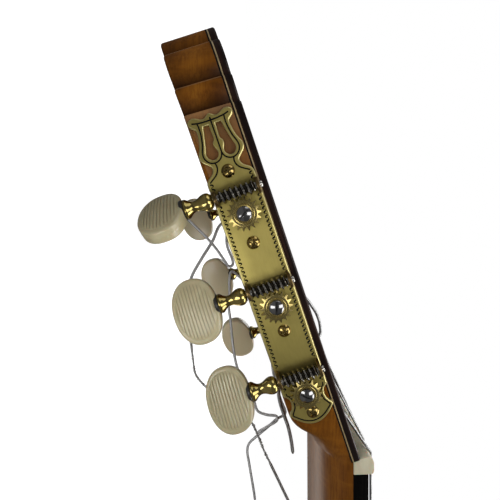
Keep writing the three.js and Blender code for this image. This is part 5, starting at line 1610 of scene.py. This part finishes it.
# ------------------------------------------------------------------ taut strings
COIL_R = 5.0
for n in range(1, 7):
    key = "bass" if n > 3 else "treble"
    u = ROLLER_U[STRING[key].index(n)]
    sgn = SIDE[key]["sign"]
    r = RADIUS[n]
    xs, xn = (3.5 - n) * 11.6, (3.5 - n) * 8.6
    xr = sgn * (HEAD_HALF + u * math.tan(PH) - 15.75)
    zs = BR + SADDLE_H + r + 0.02
    zn = Z_JOINT + 8.32 + r * 0.55
    ny, nz = 0.3, zn - Z_JOINT
    c, d = math.cos(TH), math.sin(TH)
    nu, nv = ny * c - nz * d, ny * d + nz * c
    uc = u * math.cos(PH) + 15.75 * math.sin(PH)
    du, dv, R = uc - nu, AXIS_V - nv, COIL_R + r
    slope = math.atan2(dv, du) + math.asin(R / math.hypot(du, dv))
    run = math.sqrt(du * du + dv * dv - R * R)
    tx, tu, tv = xr, nu + run * math.cos(slope), nv + run * math.sin(slope)
    pts = []
    # tied round the block behind the bridge, up over the saddle, along the neck, over the nut, to the roller
    pts += catmull([(xs, Y_SADDLE - 7.6, BR + 5.6), (xs, Y_SADDLE - 5.4, BR + 7.6), (xs, Y_SADDLE - 3.0, zs - 1.6), (xs, Y_SADDLE - 0.9, zs - 0.06), (xs, Y_SADDLE + 0.2, zs)], 5)
    steps = 60
    for k in range(1, steps):
        t = k / steps
        pts.append((xs + (xn - xs) * t, Y_SADDLE + 0.2 + (Y_FRONT + 0.4 - Y_SADDLE - 0.2) * t, zs + (zn - zs) * t))
    pts += [(xn, Y_FRONT + 0.6, zn), (xn, Y_NUT - 1.2, zn + 0.0), (xn, Y_NUT - 0.4, zn - 0.03)]
    hp = lambda a, b, cc: tuple(head_point(a, b, cc) / MM)
    pts.append(hp(xn, nu, nv))
    for k in range(1, 13):
        t = k / 12
        pts.append(hp(xn + (tx - xn) * t, nu + (tu - nu) * t, nv + (tv - nv) * t))
    v, f, al = tube_data(pts, r, 10)
    make(f"string_{n}_taut", v, f, M["wound"] if n > 3 else M["nylon"], along=al, replaces=[f"string_{n}"], slot="wound_string" if n > 3 else "nylon", clean=False, smooth=60)
    # the tie at the bridge: round the block and twisted under itself
    loop = catmull([(xs, Y_SADDLE - 7.9, BR + 5.4), (xs + 0.2, Y_SADDLE - 12, BR + 5.0), (xs + 0.3, Y_SADDLE - 17.3, BR + 5.2), (xs + 0.5, Y_SADDLE - 17.9, BR + 7.4), (xs + 1.2, Y_SADDLE - 16.6, BR + 9.0 + r), (xs + 2.2, Y_SADDLE - 12, BR + 9.0 + r),
                    (xs + 2.0, Y_SADDLE - 8.2, BR + 8.9 + r), (xs + 0.6, Y_SADDLE - 7.0, BR + 7.6), (xs - 1.0, Y_SADDLE - 7.4, BR + 8.2), (xs - 1.6, Y_SADDLE - 9.4, BR + 9.1 + r), (xs - 0.6, Y_SADDLE - 12.2, BR + 9.4 + 2 * r), (xs + 1.6, Y_SADDLE - 14.4, BR + 9.2 + r), (xs + 3.6, Y_SADDLE - 16.0, BR + 9.2 + r), (xs + 4.6, Y_SADDLE - 18.4, BR + 9.6)], 6)
    v, f, al = tube_data(loop, r, 8)
    make(f"string_{n}_tie", v, f, M["wound"] if n > 3 else M["nylon"], along=al, clean=False, smooth=60)

# ------------------------------------------------------------------ floor and light
bm = bmesh.new()
bmesh.ops.create_grid(bm, x_segments=1, y_segments=1, size=6)
me = bpy.data.meshes.new("floor")
bm.to_mesh(me)
bm.free()
floor = bpy.data.objects.new("floor", me)
scene.collection.objects.link(floor)
floor.location = (0, 0, -0.0002)
fl = Nodes("floor_pale", (0.5, 0.5, 0.497), 0, 0.9)
fl.b.inputs["Emission Color"].default_value = (1, 1, 1, 1)
lp = fl.new("ShaderNodeLightPath")
ln = fl.new("ShaderNodeVectorMath", operation="LENGTH")
mp = fl.new("ShaderNodeMapping")
mp.inputs["Location"].default_value = (0, 0.25, 0)
fl.link(fl.coord, mp.inputs["Vector"])
fl.link(mp.outputs["Vector"], ln.inputs[0])
glow = fl.math("ADD", fl.grey(ln.outputs["Value"], 0.66, 0.91, 0.36, 0.62), fl.grey(ln.outputs["Value"], 0.0, 0.12, 1.3, 2.3))
fl.color(fl.mix(lp.outputs["Is Glossy Ray"], fl.mix(lp.outputs["Is Camera Ray"], (0.5, 0.5, 0.497), (0.28, 0.28, 0.278)), (0.17, 0.17, 0.17)))
fl.link(fl.math("MULTIPLY", lp.outputs["Is Camera Ray"], glow), fl.b.inputs["Emission Strength"])
me.materials.append(fl.m)

world = bpy.data.worlds.new("studio")
scene.world = world
world.use_nodes = True
wt = world.node_tree
wt.nodes.clear()
wo = wt.nodes.new("ShaderNodeOutputWorld")
b1, b2 = wt.nodes.new("ShaderNodeBackground"), wt.nodes.new("ShaderNodeBackground")
b1.inputs["Color"].default_value = (1, 1, 1, 1)
b1.inputs["Strength"].default_value = 0.17
b2.inputs["Color"].default_value = (1, 1, 1, 1)
b2.inputs["Strength"].default_value = 1.0
mx, lpw = wt.nodes.new("ShaderNodeMixShader"), wt.nodes.new("ShaderNodeLightPath")
wt.links.new(lpw.outputs["Is Camera Ray"], mx.inputs[0])
wt.links.new(b1.outputs[0], mx.inputs[1])
wt.links.new(b2.outputs[0], mx.inputs[2])
wt.links.new(mx.outputs[0], wo.inputs["Surface"])


def area(name, location, target, sx, sy, watts, color=(1, 1, 1)):
    data = bpy.data.lights.new(name, "AREA")
    data.shape = "RECTANGLE"
    data.size, data.size_y = sx, sy
    data.energy = watts
    data.color = color
    ob = bpy.data.objects.new(name, data)
    scene.collection.objects.link(ob)
    ob.location = location
    ob.rotation_euler = (Vector(target) - Vector(location)).to_track_quat("-Z", "Y").to_euler()
    ob.visible_camera = False
    return ob


TARGET = (-0.03, 0.40, 0.06)
area("softbox_right", (-0.50, 0.42, 0.66), TARGET, 0.36, 0.60, 2.9)
area("softbox_low", (-0.085, 0.385, 0.006), (-0.05, 0.385, 0.06), 0.034, 0.12, 0.06)
area("softbox_neck", (0.092, 0.205, 0.004), (0.03, 0.27, 0.08), 0.12, 0.09, 0.072, (1.0, 0.94, 0.86))
area("softbox_under", (-0.012, 0.355, 0.006), (0.05, 0.36, 0.058), 0.10, 0.012, 0.0105)
over = area("softbox_over", (0.15, -0.38, 1.35), (0.02, -0.18, 0), 1.1, 1.1, 9.5)
over.data.spread = math.radians(110)
area("softbox_back", (1.3, 0.6, 0.7), (0, 0, 0.05), 0.9, 0.9, 6)
area("softbox_head", (-0.20, 1.15, 0.42), (-0.01, 0.36, 0.08), 0.55, 0.55, 1.3)

scene.view_settings.view_transform = "Standard"
